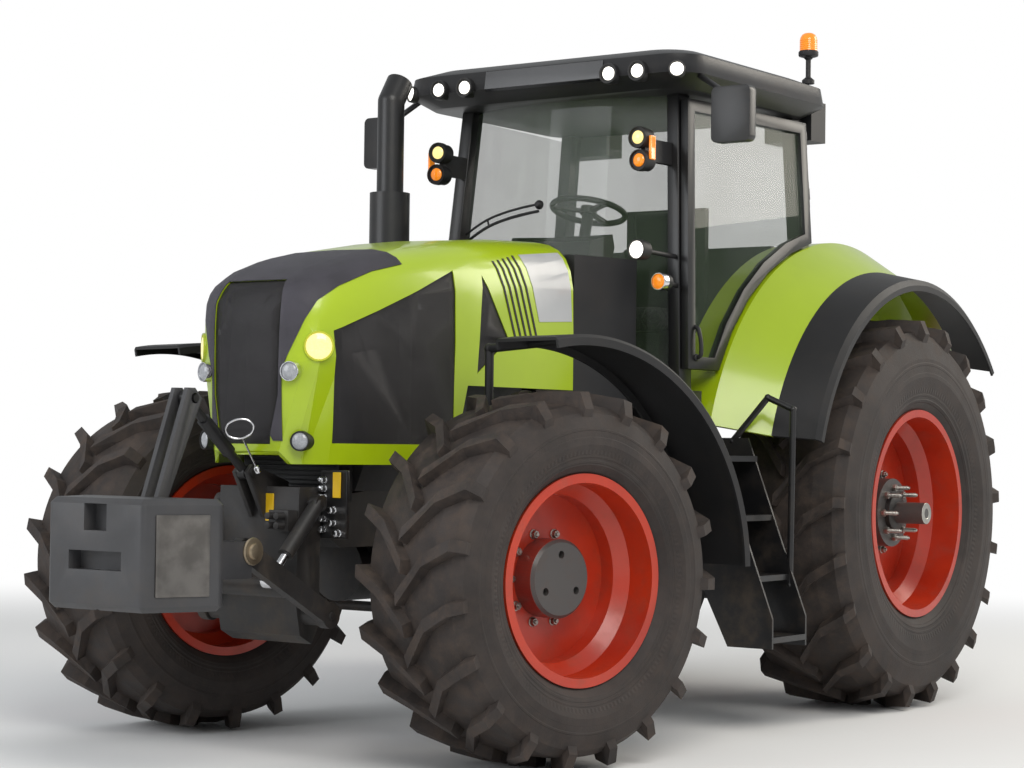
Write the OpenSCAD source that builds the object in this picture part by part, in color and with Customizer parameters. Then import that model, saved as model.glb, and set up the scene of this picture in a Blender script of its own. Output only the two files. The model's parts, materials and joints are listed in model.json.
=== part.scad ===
// Farm tractor: hinged bonnet, glazed cab, steered front wheels and a linkage at each end.
// The front faces -Y and the tractor's left side is +X.
// The origin lies on the ground, at the middle of the length. Lengths are millimetres.

/* [Overall] */
// Distance between the axles
wheelbase = 3150; // [3100:10:3250]
// Reach of the ballast block ahead of the front axle
nose_reach = 1700; // [1690:5:1760]
// Reach of the lower links behind the rear axle
tail_reach = 1250; // [1220:5:1300]
// Steered angle of the front wheels as parked
parked_steer = -12; // [-15:1:15]
// Gap between pieces that seat on each other
seat_gap = 0.3; // [0.2:0.1:0.5]
// Gap round pieces that swing past others
swing_gap = 8; // [6:1:12]

/* [Front wheels] */
// Radius of the front tyres at the lugs
front_tyre_r = 820; // [800:5:830]
// Width of the front tyres
front_tyre_w = 640; // [580:10:660]
// Bead seat radius of the front rims
front_rim_r = 432; // [410:2:440]
// Width of the front rims
front_rim_w = 540; // [500:10:560]
// Distance of the front tyres' middle planes from the centre line
front_track_x = 1050; // [1040:5:1080]
// Distance of the king pins from the centre line
king_x = 870; // [860:5:880]
// Radius of the front hubs
front_hub_r = 172; // [150:2:190]
// Reach of the front hubs outside the tyre's middle plane
front_hub_out = 128; // [100:2:150]
// Lug pairs on a front tyre
front_lugs = 19; // [16:1:20]

/* [Rear wheels] */
// Radius of the rear tyres at the lugs
rear_tyre_r = 1054; // [1030:2:1060]
// Width of the rear tyres
rear_tyre_w = 710; // [650:10:720]
// Bead seat radius of the rear rims
rear_rim_r = 534; // [510:2:545]
// Width of the rear rims
rear_rim_w = 610; // [560:10:630]
// Distance of the rear tyres' middle planes from the centre line
rear_track_x = 1030; // [1025:5:1040]
// Radius of the rear hubs
rear_hub_r = 185; // [160:5:200]
// Radius of the bar axles
bar_axle_r = 58; // [50:1:65]
// Reach of the bar axles from the centre line
bar_axle_x = 1380; // [1340:5:1385]
// Lug pairs on a rear tyre
rear_lugs = 21; // [18:1:22]

/* [Tyres and rims] */
// Height of the lugs
lug_h = 50; // [40:1:55]
// Width of a lug along the tread
lug_w = 54; // [40:1:60]
// Angle that a lug trails behind from its root to the shoulder
lug_sweep = 17; // [12:1:20]
// Height of the rim flanges
flange_h = 26; // [20:1:30]
// Thickness of the rim flanges
flange_t = 14; // [10:1:18]
// Thickness of the rim barrel and disc
rim_t = 14; // [10:1:18]
// Depth of the well in the rim
rim_well = 52; // [40:1:60]

/* [Frame and drive] */
// Half width of the front frame
frame_x = 225; // [200:5:240]
// Height of the front frame's underside
frame_z0 = 930; // [925:5:940]
// Height of the front frame's top face
frame_z1 = 1180; // [1150:5:1200]
// Reach of the front frame ahead of the front axle
frame_nose = 560; // [540:5:580]
// Gap between the engine's rear face and the bonnet's rear edge
engine_gap = 150; // [140:5:170]
// Half width of the engine
engine_x = 290; // [250:5:300]
// Height of the engine's top face
engine_z1 = 2020; // [1950:10:2060]
// Reach of the engine ahead of the front axle
engine_nose = 320; // [300:10:340]
// Half width of the gearbox
gearbox_x = 270; // [240:5:290]
// Height of the gearbox underside
gearbox_z0 = 640; // [600:10:700]
// Height of the gearbox top face
gearbox_z1 = 1290; // [1250:10:1320]
// Reach of the rear housing behind the rear axle
housing_tail = 420; // [400:10:450]
// Largest radius of the rear axle trumpets
trumpet_r = 235; // [210:5:250]
// Radius of the trumpets at their outer flange
trumpet_end_r = 165; // [150:5:180]
// Reach of the trumpets from the centre line
trumpet_x = 600; // [580:5:610]
// Radius of the rear power shaft
pto_r = 22.2; // [17.3:0.1:22.5]
// Free length of the rear power shaft
pto_l = 90; // [80:1:100]

/* [Front axle] */
// Half height of the axle beam
beam_h = 100; // [85:5:105]
// Half depth of the axle beam
beam_d = 72; // [60:2:80]
// Radius of the beam's end eyes
beam_eye_r = 92; // [85:1:95]
// Radius of the king pins
king_r = 38; // [30:1:42]
// Thickness of the knuckle's arms
knuckle_t = 48; // [40:2:55]
// Length of the steering arms
steer_arm = 235; // [220:5:250]
// Radius of the tie rod
tie_r = 24; // [18:1:28]
// Radius of the front spindles
spindle_r = 62; // [50:1:70]

/* [Mudguards] */
// Radius of the front mudguards
guard_r = 1040; // [1020:5:1060]
// Thickness of the front mudguards
guard_t = 14; // [10:1:18]
// Width of the front mudguards
guard_w = 390; // [340:10:400]
// Angle of the mudguard ahead of the wheel's top
guard_lead = 11; // [8:1:20]
// Angle of the mudguard behind the wheel's top
guard_trail = 88; // [80:1:90]
// Radius of the fender shelf beside the cab
shelf_r = 1480; // [1460:5:1500]
// Radius of the fender at its outer edge
fender_r = 1310; // [1300:5:1330]
// Radius of the flare at its outer edge
flare_r = 1262; // [1245:2:1270]
// Distance of the fender's inner wall from the centre line
fender_x0 = 606; // [600:2:612]
// Distance of the fender's outer edge from the centre line
fender_x1 = 1110; // [1080:5:1140]
// Distance of the flare's outer edge from the centre line
flare_x1 = 1355; // [1320:5:1370]
// Thickness of the fender panels
fender_t = 22; // [16:1:28]
// Angle of the fender ahead of the wheel's top
fender_lead = 72; // [68:1:74]
// Angle of the fender behind the wheel's top
fender_trail = 50; // [46:1:60]

/* [Bonnet] */
// Reach of the bonnet's nose ahead of the front axle
bonnet_nose = 815; // [800:5:830]
// Width of the bonnet at its rear end
bonnet_w = 980; // [940:5:1000]
// Height of the bonnet's lower edge at the nose
bonnet_z0 = 1300; // [1290:5:1310]
// Height of the bonnet's top at its rear end
bonnet_z1 = 2405; // [2390:5:2420]
// Wall of the bonnet
bonnet_t = 14; // [12:1:18]
// Height of the bonnet's lower edge behind the front wheel
bonnet_step_z = 1665; // [1650:5:1680]
// Place of that step behind the front axle
bonnet_step = 190; // [170:5:210]
// Radius of the headlamps
headlamp_r = 62; // [50:1:66]
// Radius of the nose lamps
nose_lamp_r = 40; // [34:1:44]
// Thickness of the grille panels
grille_t = 10; // [8:1:12]

/* [Cab] */
// Length of the cowl between the bonnet and the cab's front
cowl_l = 530; // [510:5:550]
// Length of the door's foot ahead of the rear fender
door_foot = 284.8; // [280:0.2:290]
// Length of the cab between its pillars' outer edges
cab_l = 1290; // [1260:5:1300]
// Height of the cab floor's top face
floor_z = 1680; // [1670:5:1690]
// Thickness of the cab floor
floor_t = 70; // [60:5:80]
// Height of the roof's underside
roof_z = 3190; // [3180:5:3200]
// Height of the roof from its underside to its top
roof_t = 205; // [190:5:220]
// Half width of the roof
roof_x = 905; // [890:5:920]
// Length of the roof
roof_l = 1560; // [1540:5:1580]
// Reach of the roof ahead of the cab's front
roof_over = 165; // [150:5:180]
// Distance of the cab's side at its front foot from the centre line
side_x = 785; // [775:5:790]
// Yaw of the cab's sides
side_yaw = 4; // [3:0.5:5]
// Inward lean of the cab's sides
side_lean = 4; // [3:0.5:5]
// Rake of the front pillars
pillar_rake = 4; // [3:0.5:5]
// Width of the pillars across the cab
pillar_w = 70; // [60:2:80]
// Depth of the pillars along the cab
pillar_d = 105; // [90:5:110]
// Thickness of the glass
glass_t = 8; // [6:1:10]
// Radius of the windscreen's curve
screen_r = 1500; // [1400:20:1700]
// Thickness of the door
door_t = 42; // [36:2:50]
// Width of the door's frame
door_rim = 62; // [50:2:70]
// Height of the door's lower edge over the floor
door_sill = 105; // [100:5:120]

/* [Front linkage] */
// Half distance between the front arms
front_arm_x = 345; // [335:5:355]
// Thickness of the front arms
front_arm_t = 46; // [40:2:50]
// Height of the front arms' pivot
front_pivot_z = 648; // [640:2:660]
// Reach of that pivot ahead of the front axle
front_pivot = 640; // [630:5:650]
// Reach of the hooks ahead of the front axle
hook_reach = 1190; // [1180:5:1200]
// Height of the hooks
hook_z = 943; // [930:2:955]
// Radius of the front linkage's pins
front_pin_r = 18; // [16:1:20]
// Height of the ballast's underside
weight_z0 = 705; // [700:5:715]
// Height of the ballast's top face
weight_z1 = 1160; // [1150:5:1170]
// Half width of the ballast's front face
weight_front_x = 265; // [250:5:275]
// Half width of the ballast's rear flange
weight_rear_x = 395; // [385:5:400]
// Reach of the ballast's rear face ahead of the front axle
weight_back = 1350; // [1345:1:1355]
// Height of the mast's pin
mast_z = 1575; // [1565:2:1585]
// Reach of the mast's pin ahead of the front axle
mast_reach = 1176; // [1170:2:1180]
// Height of the top link's pin on the frame
top_pin_z = 1262; // [1255:1:1268]
// Reach of the top link's pin on the frame
top_pin_reach = 802; // [798:1:806]

/* [Rear linkage] */
// Half distance between the lower links at their front
link_x = 255; // [250:1:260]
// Half distance between the lower links' balls
link_ball_x = 455; // [440:5:470]
// Height of the lower links' front pivot
link_pivot_z = 560; // [550:5:570]
// Place of that pivot behind the rear axle
link_pivot = 250; // [240:5:260]
// Height of the lower links' balls
link_ball_z = 700; // [690:5:710]
// Bore of the lower links' balls
ball_bore_r = 18.7; // [14.4:0.1:25.6]
// Outer radius of the lower links' ball eyes
ball_eye_r = 50; // [45:1:55]
// Thickness of the lower links
link_t = 46; // [40:2:50]

/* [Hidden] */
$fn = 64;
fender_fn = 180;
over = 20;
front_axle_y = -(wheelbase + tail_reach - nose_reach) / 2;
rear_axle_y = front_axle_y + wheelbase;
front_axle_z = front_tyre_r;
rear_axle_z = rear_tyre_r;
// The cab stands as far ahead of the rear axle as the fender and the door's foot need
door_arc_gap = 16;
door_arc_r = shelf_r + door_arc_gap;
door_low = floor_z + door_sill - rear_axle_z;
cab_y = rear_axle_y - door_foot - sqrt(pow(door_arc_r, 2) - pow(door_low, 2));
bonnet_rear_y = cab_y - cowl_l;
bonnet_nose_y = front_axle_y - bonnet_nose;
bonnet_l = bonnet_rear_y - bonnet_nose_y;
frame_end_y = bonnet_rear_y - engine_gap;
left = 1;
right = -1;
sides = [left, right];

paint_green = "#a9c41c";
paint_black = "#1b1b1d";
cast_black = "#26272a";
cast_grey = "#5c5d60";
rim_red = "#d2431f";
rubber = "#2b2725";
steel = "#a8a9ab";
glass_tint = "#7fb39a80";

// Placing helpers

function mix(a, b, share) = a + (b - a) * share;

// Children built for the left side, copied to both sides
module both_sides() {
    children();
    mirror([1, 0, 0]) children();
}

module on(side) {
    if (side == left) children();
    else mirror([1, 0, 0]) children();
}

// Turns what is built straight ahead to the parked steering angle about a king pin
module steered(side) {
    translate([side * king_x, front_axle_y, 0])
        rotate(parked_steer)
            translate([-side * king_x, -front_axle_y, 0]) children();
}

// Revolves a profile of [x, radius] points about a cross axis; angle 0 is up, and angles grow backwards
module cross_revolve(y, z, from = 0, sweep = 360) {
    translate([0, y, z])
        rotate([0, 90, 0])
            rotate([0, 0, 180 - from - sweep])
                rotate_extrude(angle = sweep, $fn = fender_fn) children();
}

// Extrudes an outline of [y, z] points across the tractor, from x0 to x1
module cross_extrude(x0, x1) {
    translate([x0, 0, 0])
        rotate([90, 0, 90]) linear_extrude(x1 - x0) children();
}

// Round bar between two points
module bar(p, q, r) {
    v = q - p;
    l = norm(v);
    translate(p)
        rotate([0, acos(v.z / l), atan2(v.y, v.x)]) cylinder(r = r, h = l);
}

// Cylinder along the cross axis, centred on x
module cross_pin(x0, x1, y, z, r) {
    translate([x0, y, z]) rotate([0, 90, 0]) cylinder(r = r, h = x1 - x0);
}

// Skin through a list of rings, each counterclockwise as seen from the first ring's side
module loft(rings) {
    n = len(rings[0]);
    last = len(rings) - 1;
    polyhedron(
        points = [for (ring = rings) each ring],
        faces = [
            [for (i = [n - 1:-1:0]) i],
            for (k = [0:last - 1], i = [0:n - 1])
                [k * n + i, k * n + (i + 1) % n, (k + 1) * n + (i + 1) % n, (k + 1) * n + i],
            [for (i = [0:n - 1]) last * n + i]
        ],
        convexity = 8);
}

// Tyres and rims

// Half section of a tyre: shares of its half width and of its height over the rim flange
tyre_shares = [[0.92, 0.12], [1, 0.40], [0.985, 0.62], [0.93, 0.83], [0.80, 0.94], [0.5, 0.985], [0, 1]];
// Stations of a lug: share of the half width at its top and root, and drops of both in lug heights
lug_shares = [[-0.05, -0.05, 0, 1.3], [0.45, 0.45, 0.05, 1.4], [0.90, 0.84, 0.24, 2.4],
    [0.985, 0.90, 1.7, 3.2]];
// Width of a lug's root in widths of its top
lug_root_share = 1.4;

function lug_lag(share) = lug_sweep * (1 - pow(1 - share, 2));

function round_point(x, r, angle) = [x, r * sin(angle), r * cos(angle)];

module lug(r, w, hand, angle) {
    half = lug_w / r / 2 * 180 / PI;
    rings = [for (s = lug_shares)
        let (a = angle + lug_lag(max(0, s[0])), top = r - s[2] * lug_h, root = r - s[3] * lug_h,
             xt = hand * s[0] * w / 2, xr = hand * s[1] * w / 2, wide = half * lug_root_share)
        [round_point(xt, top, a - half), round_point(xt, top, a + half),
         round_point(xr, root, a + wide), round_point(xr, root, a - wide)]];
    loft(hand < 0 ? [for (ring = rings) [ring[3], ring[2], ring[1], ring[0]]] : rings);
}

module tyre_body(r, w, rim_r, rim_w) {
    bead_x = rim_w / 2 - flange_t - seat_gap;
    base = rim_r + flange_h;
    crown = r - lug_h;
    half = [[bead_x, rim_r + seat_gap], [bead_x, base + seat_gap],
        for (s = tyre_shares) [s[0] * w / 2, mix(base, crown, s[1])]];
    rotate([0, 90, 0])
        rotate_extrude($fn = 96)
            polygon([for (p = half) [p[1], p[0]], for (i = [len(half) - 2:-1:0]) [half[i][1],
                -half[i][0]]]);
}

module tyre(r, w, rim_r, rim_w, lugs) {
    pitch = 360 / lugs;
    color(rubber) union() {
        tyre_body(r, w, rim_r, rim_w);
        for (i = [0:lugs - 1]) {
            lug(r, w, 1, i * pitch);
            lug(r, w, -1, i * pitch + pitch / 2);
        }
    }
}

// Section of a rim barrel, from its inner flange to its outer one
well_shares = [0.30, 0.44];

module rim_barrel(rim_r, rim_w) {
    w = rim_w / 2;
    well = rim_r - rim_well;
    outside = [[-w, rim_r + flange_h], [flange_t - w, rim_r + flange_h], [flange_t - w, rim_r],
        [-well_shares[1] * w, rim_r], [-well_shares[0] * w, well], [well_shares[0] * w, well],
        [well_shares[1] * w, rim_r], [w - flange_t, rim_r], [w - flange_t, rim_r + flange_h],
        [w, rim_r + flange_h]];
    inside = [[w, rim_r - rim_t], [well_shares[1] * w + rim_t, rim_r - rim_t],
        [well_shares[0] * w, well - rim_t],
        [-well_shares[0] * w, well - rim_t], [-well_shares[1] * w - rim_t, rim_r - rim_t],
            [-w, rim_r - rim_t]];
    rotate([0, 90, 0])
        rotate_extrude($fn = 96) polygon([for (p = concat(outside, inside)) [p[1], p[0]]]);
}

neck_share = 0.2;

// Dished disc from the rim's well to the hub: x at the well, x at the hub
module rim_disc(rim_r, hub_r, x_rim, x_hub) {
    reach = rim_r - rim_well - rim_t / 2;
    neck = mix(hub_r, reach, neck_share);
    rotate([0, 90, 0])
        rotate_extrude($fn = 96)
            polygon([[reach, x_rim], [reach, x_rim + rim_t], [neck, x_hub + rim_t],
                [hub_r - rim_t, x_hub + rim_t],
                [hub_r - rim_t, x_hub], [neck, x_hub]]);
}

// Front hub values, measured outwards from the tyre's middle plane
hub_from_king = 140;
hub_in = front_track_x - king_x - hub_from_king;
hub_cap_bevel = 14;
hub_socket_r = 17;
hub_socket_pcd = 105;
spindle_l = 70;

module front_rim() {
    color(rim_red) difference() {
        union() {
            rim_barrel(front_rim_r, front_rim_w);
            rim_disc(front_rim_r, front_hub_r, -rim_t / 2, 0);
            rotate([0, 90, 0])
                rotate_extrude($fn = 64)
                    polygon([[0, -hub_in], [front_hub_r, -hub_in],
                        [front_hub_r, front_hub_out - hub_cap_bevel],
                        [front_hub_r - hub_cap_bevel, front_hub_out], [0, front_hub_out]]);
        }
        translate([-hub_in - over, 0, 0])
            rotate([0, 90, 0]) cylinder(r = spindle_r + seat_gap, h = spindle_l + over);
        for (i = [0:2])
            rotate([i * 120, 0, 0])
                translate([front_hub_out - 2 * hub_cap_bevel, 0, hub_socket_pcd])
                    rotate([0, 90, 0]) cylinder(r = hub_socket_r, h = 2 * hub_cap_bevel + over);
    }
}

// Rear hub values, measured outwards from the tyre's middle plane
rear_hub_in = 170;
rear_hub_out = 150;
rear_disc_in = 40;
bar_root_x = 400;

module rear_rim() {
    color(rim_red) union() {
        rim_barrel(rear_rim_r, rear_rim_w);
        rim_disc(rear_rim_r, rear_hub_r, -rim_t / 2, rear_disc_in);
        rotate([0, 90, 0])
            translate([0, 0, -rear_hub_in]) cylinder(r = rear_hub_r, h = rear_hub_in + rear_hub_out);
        translate([bar_root_x - rear_track_x, 0, 0])
            rotate([0, 90, 0]) cylinder(r = bar_axle_r, h = bar_axle_x - bar_root_x);
    }
}

module at_front_wheel(side) {
    steered(side)
        translate([side * front_track_x, front_axle_y, front_axle_z]) on(side) children();
}

module at_rear_wheel(side) {
    translate([side * rear_track_x, rear_axle_y, rear_axle_z]) on(side) children();
}

module front_tyre() {
    tyre(front_tyre_r, front_tyre_w, front_rim_r, front_rim_w, front_lugs);
}

module rear_tyre() {
    tyre(rear_tyre_r, rear_tyre_w, rear_rim_r, rear_rim_w, rear_lugs);
}

module tyre_front_left() { at_front_wheel(left) front_tyre(); }
module tyre_front_right() { at_front_wheel(right) front_tyre(); }
module tyre_rear_left() { at_rear_wheel(left) rear_tyre(); }
module tyre_rear_right() { at_rear_wheel(right) rear_tyre(); }
module rim_front_left() { at_front_wheel(left) front_rim(); }
module rim_front_right() { at_front_wheel(right) front_rim(); }
module rim_rear_left() { at_rear_wheel(left) rear_rim(); }
module rim_rear_right() { at_rear_wheel(right) rear_rim(); }

// Frame and drive

housing_end_y = rear_axle_y + housing_tail;
// Side outline of the front frame: shares of its length and height
frame_shares = [[0, 0.35], [0.10, 0], [1, 0], [1, 1], [0.22, 1], [0, 0.85]];

module front_frame() {
    length = frame_end_y - front_axle_y + frame_nose;
    color(cast_black)
        cross_extrude(-frame_x, frame_x)
            polygon([for (s = frame_shares)
                [frame_end_y - length * (1 - s[0]), mix(frame_z0, frame_z1, s[1])]]);
}

// Front outline of the engine: shares of its half width and height
engine_shares = [[0.78, 0], [1, 0.18], [1, 0.72], [0.62, 1]];

module engine_block() {
    right_half = [for (s = engine_shares) [s[0] * engine_x, mix(frame_z1, engine_z1, s[1])]];
    left_half = [for (i = [len(right_half) - 1:-1:0]) [-right_half[i][0], right_half[i][1]]];
    color(cast_grey)
        translate([0, frame_end_y, 0])
            rotate([90, 0, 0])
                linear_extrude(frame_end_y - front_axle_y + engine_nose)
                    polygon(concat(right_half, left_half));
}

// Side outline of the gearbox: shares of its length and height
gearbox_shares = [[0, 0.42], [0.16, 0.18], [0.55, 0], [0.945, 0], [1, 0.14], [1, 1], [0.62, 1],
    [0.5, 0.86], [0, 1]];
// Blocks that carry the cab: share of the gearbox's length
cab_mount_shares = [0.26, 0.60];
cab_mount_foot_share = 0.5;
cab_mount_l = 150;
cab_mount_in = 60;
link_lug_d = 120;
link_lug_in = 50;
link_lug_drop = 45;
link_pin_r = 20;
link_pin_out = 40;
pto_z = 760;
// Pivots of the rear linkage, as [y, z]: lower links, lift shaft
link_p = [rear_axle_y + link_pivot, link_pivot_z];
lift_back = 80;
lift_up = 770;
lift_p = link_p + [lift_back, lift_up];
lift_shaft_r = 40;
lift_lug_d = 70;

module gearbox_form() {
    length = housing_end_y - frame_end_y;
    cross_extrude(-gearbox_x, gearbox_x)
        polygon([for (s = gearbox_shares)
            [frame_end_y + length * s[0], mix(gearbox_z0, gearbox_z1, s[1])]]);
}

module gearbox() {
    length = housing_end_y - frame_end_y;
    foot_z = mix(gearbox_z0, gearbox_z1, cab_mount_foot_share);
    color(cast_black) union() {
        gearbox_form();
        for (s = cab_mount_shares)
            translate([cab_mount_in - gearbox_x, frame_end_y + s * length, foot_z])
                cube([2 * (gearbox_x - cab_mount_in), cab_mount_l, floor_z - floor_t - foot_z]);
        translate([link_lug_in - link_x, rear_axle_y + link_pivot - link_lug_d / 2, link_pivot_z
            - link_lug_drop])
            cube([2 * (link_x - link_lug_in), link_lug_d, gearbox_z0 - link_pivot_z + link_lug_drop
                + over]);
        cross_pin(-link_x - link_pin_out, link_x + link_pin_out, rear_axle_y + link_pivot, link_pivot_z,
            link_pin_r);
        translate([0, housing_end_y - over, pto_z])
            rotate([-90, 0, 0]) cylinder(r = pto_r, h = pto_l + over);
        difference() {
            translate([cab_mount_in - gearbox_x, lift_p.x - lift_lug_d, gearbox_z1 - over])
                cube([2 * (gearbox_x - cab_mount_in), 2 * lift_lug_d, lift_p.y + lift_lug_d - gearbox_z1
                    + over]);
            cross_pin(-gearbox_x, gearbox_x, lift_p.x, lift_p.y, lift_shaft_r + seat_gap);
        }
    }
}

trumpet_flange = 40;
trumpet_neck_share = 0.9;
bar_end_gap = 12;

module rear_axle() {
    color(cast_black) both_sides() difference() {
        translate([0, rear_axle_y, rear_axle_z])
            rotate([0, 90, 0])
                rotate_extrude()
                    polygon([[0, gearbox_x], [trumpet_r, gearbox_x],
                        [trumpet_r * trumpet_neck_share, gearbox_x + trumpet_flange],
                        [trumpet_end_r * trumpet_neck_share, trumpet_x - 2 * trumpet_flange],
                            [trumpet_end_r, trumpet_x - trumpet_flange],
                        [trumpet_end_r, trumpet_x], [0, trumpet_x]]);
        cross_pin(bar_root_x - bar_end_gap, trumpet_x + over, rear_axle_y, rear_axle_z, bar_axle_r
            + seat_gap);
    }
}

// Front axle, king pins and knuckles

eye_over = 20;
eye_h = beam_h + eye_over;
king_l = 58;
king_gap = 2;
diff_r = 150;
diff_d = 165;
trunnion_x = 130;
trunnion_d = 90;

module front_axle() {
    color(cast_black) difference() {
        union() {
            translate([-king_x, front_axle_y - beam_d, front_axle_z - beam_h])
                cube([2 * king_x, 2 * beam_d, 2 * beam_h]);
            both_sides()
                translate([king_x, front_axle_y, front_axle_z - eye_h])
                    cylinder(r = beam_eye_r, h = 2 * eye_h);
            translate([0, front_axle_y - diff_d, front_axle_z])
                rotate([-90, 0, 0]) cylinder(r = diff_r, h = 2 * diff_d);
            translate([-trunnion_x, front_axle_y - trunnion_d, front_axle_z])
                cube([2 * trunnion_x, 2 * trunnion_d, frame_z0 - front_axle_z]);
        }
        both_sides()
            for (z = [front_axle_z - eye_h - over, front_axle_z + eye_h - king_l - seat_gap])
                translate([king_x, front_axle_y, z]) cylinder(r = king_r + seat_gap, h = king_l
                    + seat_gap + over);
        translate([-trunnion_x - over, front_axle_y - diff_d - over, frame_z0])
            cube([2 * (trunnion_x + over), 2 * (diff_d + over), diff_r]);
    }
}

// Knuckle values, measured outwards from the king pin
carrier_in = 100;
carrier_gap = 5;
carrier_out = hub_from_king - carrier_gap;
carrier_d = 105;
arm_top_z = front_axle_z + eye_h + king_gap;
arm_low_z = front_axle_z - eye_h - king_gap - knuckle_t;
steer_eye_r = 40;
steer_arm_w = 56;
steer_pin_r = 15;

module knuckle() {
    color(cast_black) difference() {
        union() {
            for (z = [arm_low_z, arm_top_z]) {
                translate([king_x, front_axle_y, z]) cylinder(r = beam_eye_r, h = knuckle_t);
                translate([king_x, front_axle_y - beam_eye_r, z])
                    cube([carrier_in + over, 2 * beam_eye_r, knuckle_t]);
            }
            translate([king_x + carrier_in, front_axle_y - carrier_d, arm_low_z])
                cube([carrier_out - carrier_in, 2 * carrier_d, arm_top_z + knuckle_t - arm_low_z]);
            translate([king_x, front_axle_y, front_axle_z + eye_h - king_l])
                cylinder(r = king_r, h = king_l + king_gap + knuckle_t);
            translate([king_x, front_axle_y, arm_low_z])
                cylinder(r = king_r, h = king_l + king_gap + knuckle_t);
            translate([king_x + carrier_out - over, front_axle_y, front_axle_z])
                rotate([0, 90, 0]) cylinder(r = spindle_r, h = spindle_l + over);
            translate([king_x - steer_arm_w / 2, front_axle_y, arm_low_z])
                cube([steer_arm_w, steer_arm, knuckle_t]);
            translate([king_x, front_axle_y + steer_arm, arm_low_z])
                cylinder(r = steer_eye_r, h = knuckle_t);
        }
        translate([king_x, front_axle_y + steer_arm, arm_low_z - over])
            cylinder(r = steer_pin_r + seat_gap, h = knuckle_t + 2 * over);
    }
}

module knuckle_left() { steered(left) on(left) knuckle(); }
module knuckle_right() { steered(right) on(right) knuckle(); }

rod_drop = 30;
rod_eye_r = 34;
rod_eye_h = 44;

module tie_rod() {
    drift = [-steer_arm * sin(parked_steer), steer_arm * cos(parked_steer), 0];
    ends = [for (side = sides) [side * king_x, front_axle_y, arm_low_z - rod_drop] + drift];
    color(cast_black) union() {
        bar(ends[1], ends[0], tie_r);
        for (p = ends) {
            translate(p - [0, 0, rod_eye_h / 2]) cylinder(r = rod_eye_r, h = rod_eye_h);
            translate(p) cylinder(r = steer_pin_r, h = rod_drop + knuckle_t);
        }
    }
}

// Mudguards over the front wheels, carried by the knuckles

guard_in = 85;
guard_lip = 34;
stay_r = 20;
stay_ball_r = 24;
stay_x = front_track_x - front_tyre_w / 2 - stay_ball_r - swing_gap;
stay_z = arm_top_z + knuckle_t + stay_ball_r;
stay_foot_h = 2 * stay_ball_r;

module mudguard() {
    x0 = king_x + guard_in;
    x1 = x0 + guard_w;
    top_z = front_axle_z + guard_r;
    color(paint_black) union() {
        cross_revolve(front_axle_y, front_axle_z, -guard_lead, guard_lead + guard_trail)
            polygon([[guard_r - guard_lip, x0], [guard_r, x0], [guard_r + guard_t, x0 + guard_t],
                [guard_r + guard_t, x1 - guard_t], [guard_r, x1], [guard_r - guard_lip, x1],
                [guard_r - guard_lip, x1 - guard_t], [guard_r, x1 - guard_t], [guard_r, x0 + guard_t],
                [guard_r - guard_lip, x0 + guard_t]]);
        translate([king_x, front_axle_y, arm_top_z + knuckle_t]) cylinder(r = king_r, h = stay_foot_h);
        bar([king_x, front_axle_y, stay_z], [stay_x, front_axle_y, stay_z], stay_r);
        translate([stay_x, front_axle_y, stay_z]) sphere(r = stay_ball_r);
        bar([stay_x, front_axle_y, stay_z], [stay_x, front_axle_y, top_z - guard_lip], stay_r);
        translate([stay_x, front_axle_y, top_z - guard_lip]) sphere(r = stay_ball_r);
        bar([stay_x, front_axle_y, top_z - guard_lip],
            [x0 + guard_w / 2, front_axle_y, top_z - stay_r / 2], stay_r);
    }
}

module mudguard_left() { steered(left) on(left) mudguard(); }
module mudguard_right() { steered(right) on(right) mudguard(); }

// Bonnet

bonnet_step_y = front_axle_y + bonnet_step;
// Stations of the bonnet: shares of its length, half width, top, lower edge and inward tuck at that edge
bonnet_shares = [
    [0.000, 0.30, 0.60, 0.14, 0.10], [0.012, 0.46, 0.675, 0.05, 0.18], [0.035, 0.60, 0.72, 0, 0.25],
    [0.058, 0.69, 0.742, 0, 0.27], [0.115, 0.77, 0.787, 0, 0.20], [0.22, 0.86, 0.842, 0, 0.10],
    [0.35, 0.93, 0.888, 0, 0.04], [0.57, 0.97, 0.951, 0, 0], [0.77, 0.99, 0.982, 0, 0], [1, 1, 1, 0, 0]];
// Height where the side turns into the crown, and the squareness of that crown
crown_share = 0.55;
crown_power_share = 0.45;
crown_steps = 14;

function signed_power(v, p) = sign(v) * pow(abs(v), p);

function bonnet_ring(s, inset, drop) =
    let (h = bonnet_z1 - bonnet_z0, w = s[1] * bonnet_w / 2 - inset, top = bonnet_z0 + s[2] * h - inset,
         low = bonnet_z0 + s[3] * h - drop, hip = mix(low, top, crown_share),
         y = bonnet_nose_y + s[0] * bonnet_l + inset * (1 - s[0]), foot = w * (1 - s[4]))
    [[foot, y, low],
        for (i = [0:crown_steps])
            let (a = 180 * i / crown_steps)
            [w * signed_power(cos(a), crown_power_share), y, hip
                + (top - hip) * pow(sin(a), crown_power_share)],
        [-foot, y, low]];

module bonnet_form(inset, drop, tail) {
    end = bonnet_shares[len(bonnet_shares) - 1];
    loft([for (s = bonnet_shares) bonnet_ring(s, inset, drop),
        for (p = [bonnet_ring(end, inset, drop)]) [for (q = p) q + [0, tail, 0]]]);
}

// Lower rear edge of the bonnet's sides: shares of the way from the step to the rear end
step_slope_share = 0.12;

// Outlines of the side openings: shares of the bonnet's length and height
side_opening_shares = [[[0.494, 0.805], [0.494, 0.083], [0.119, 0.083], [0.092, 0.525]],
    [[0.604, 0.798], [0.580, 0.380], [0.710, 0.534]]];
// Half outline of the nose opening: shares of the bonnet's half width and height
nose_opening_shares = [[0.286, 0.077], [0.376, 0.271], [0.388, 0.634], [0.343, 0.724]];
nose_depth = 330;
grille_in = 4;
grille_rim = 26;
slot_h = 15;
slot_pitch = 37;
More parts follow.
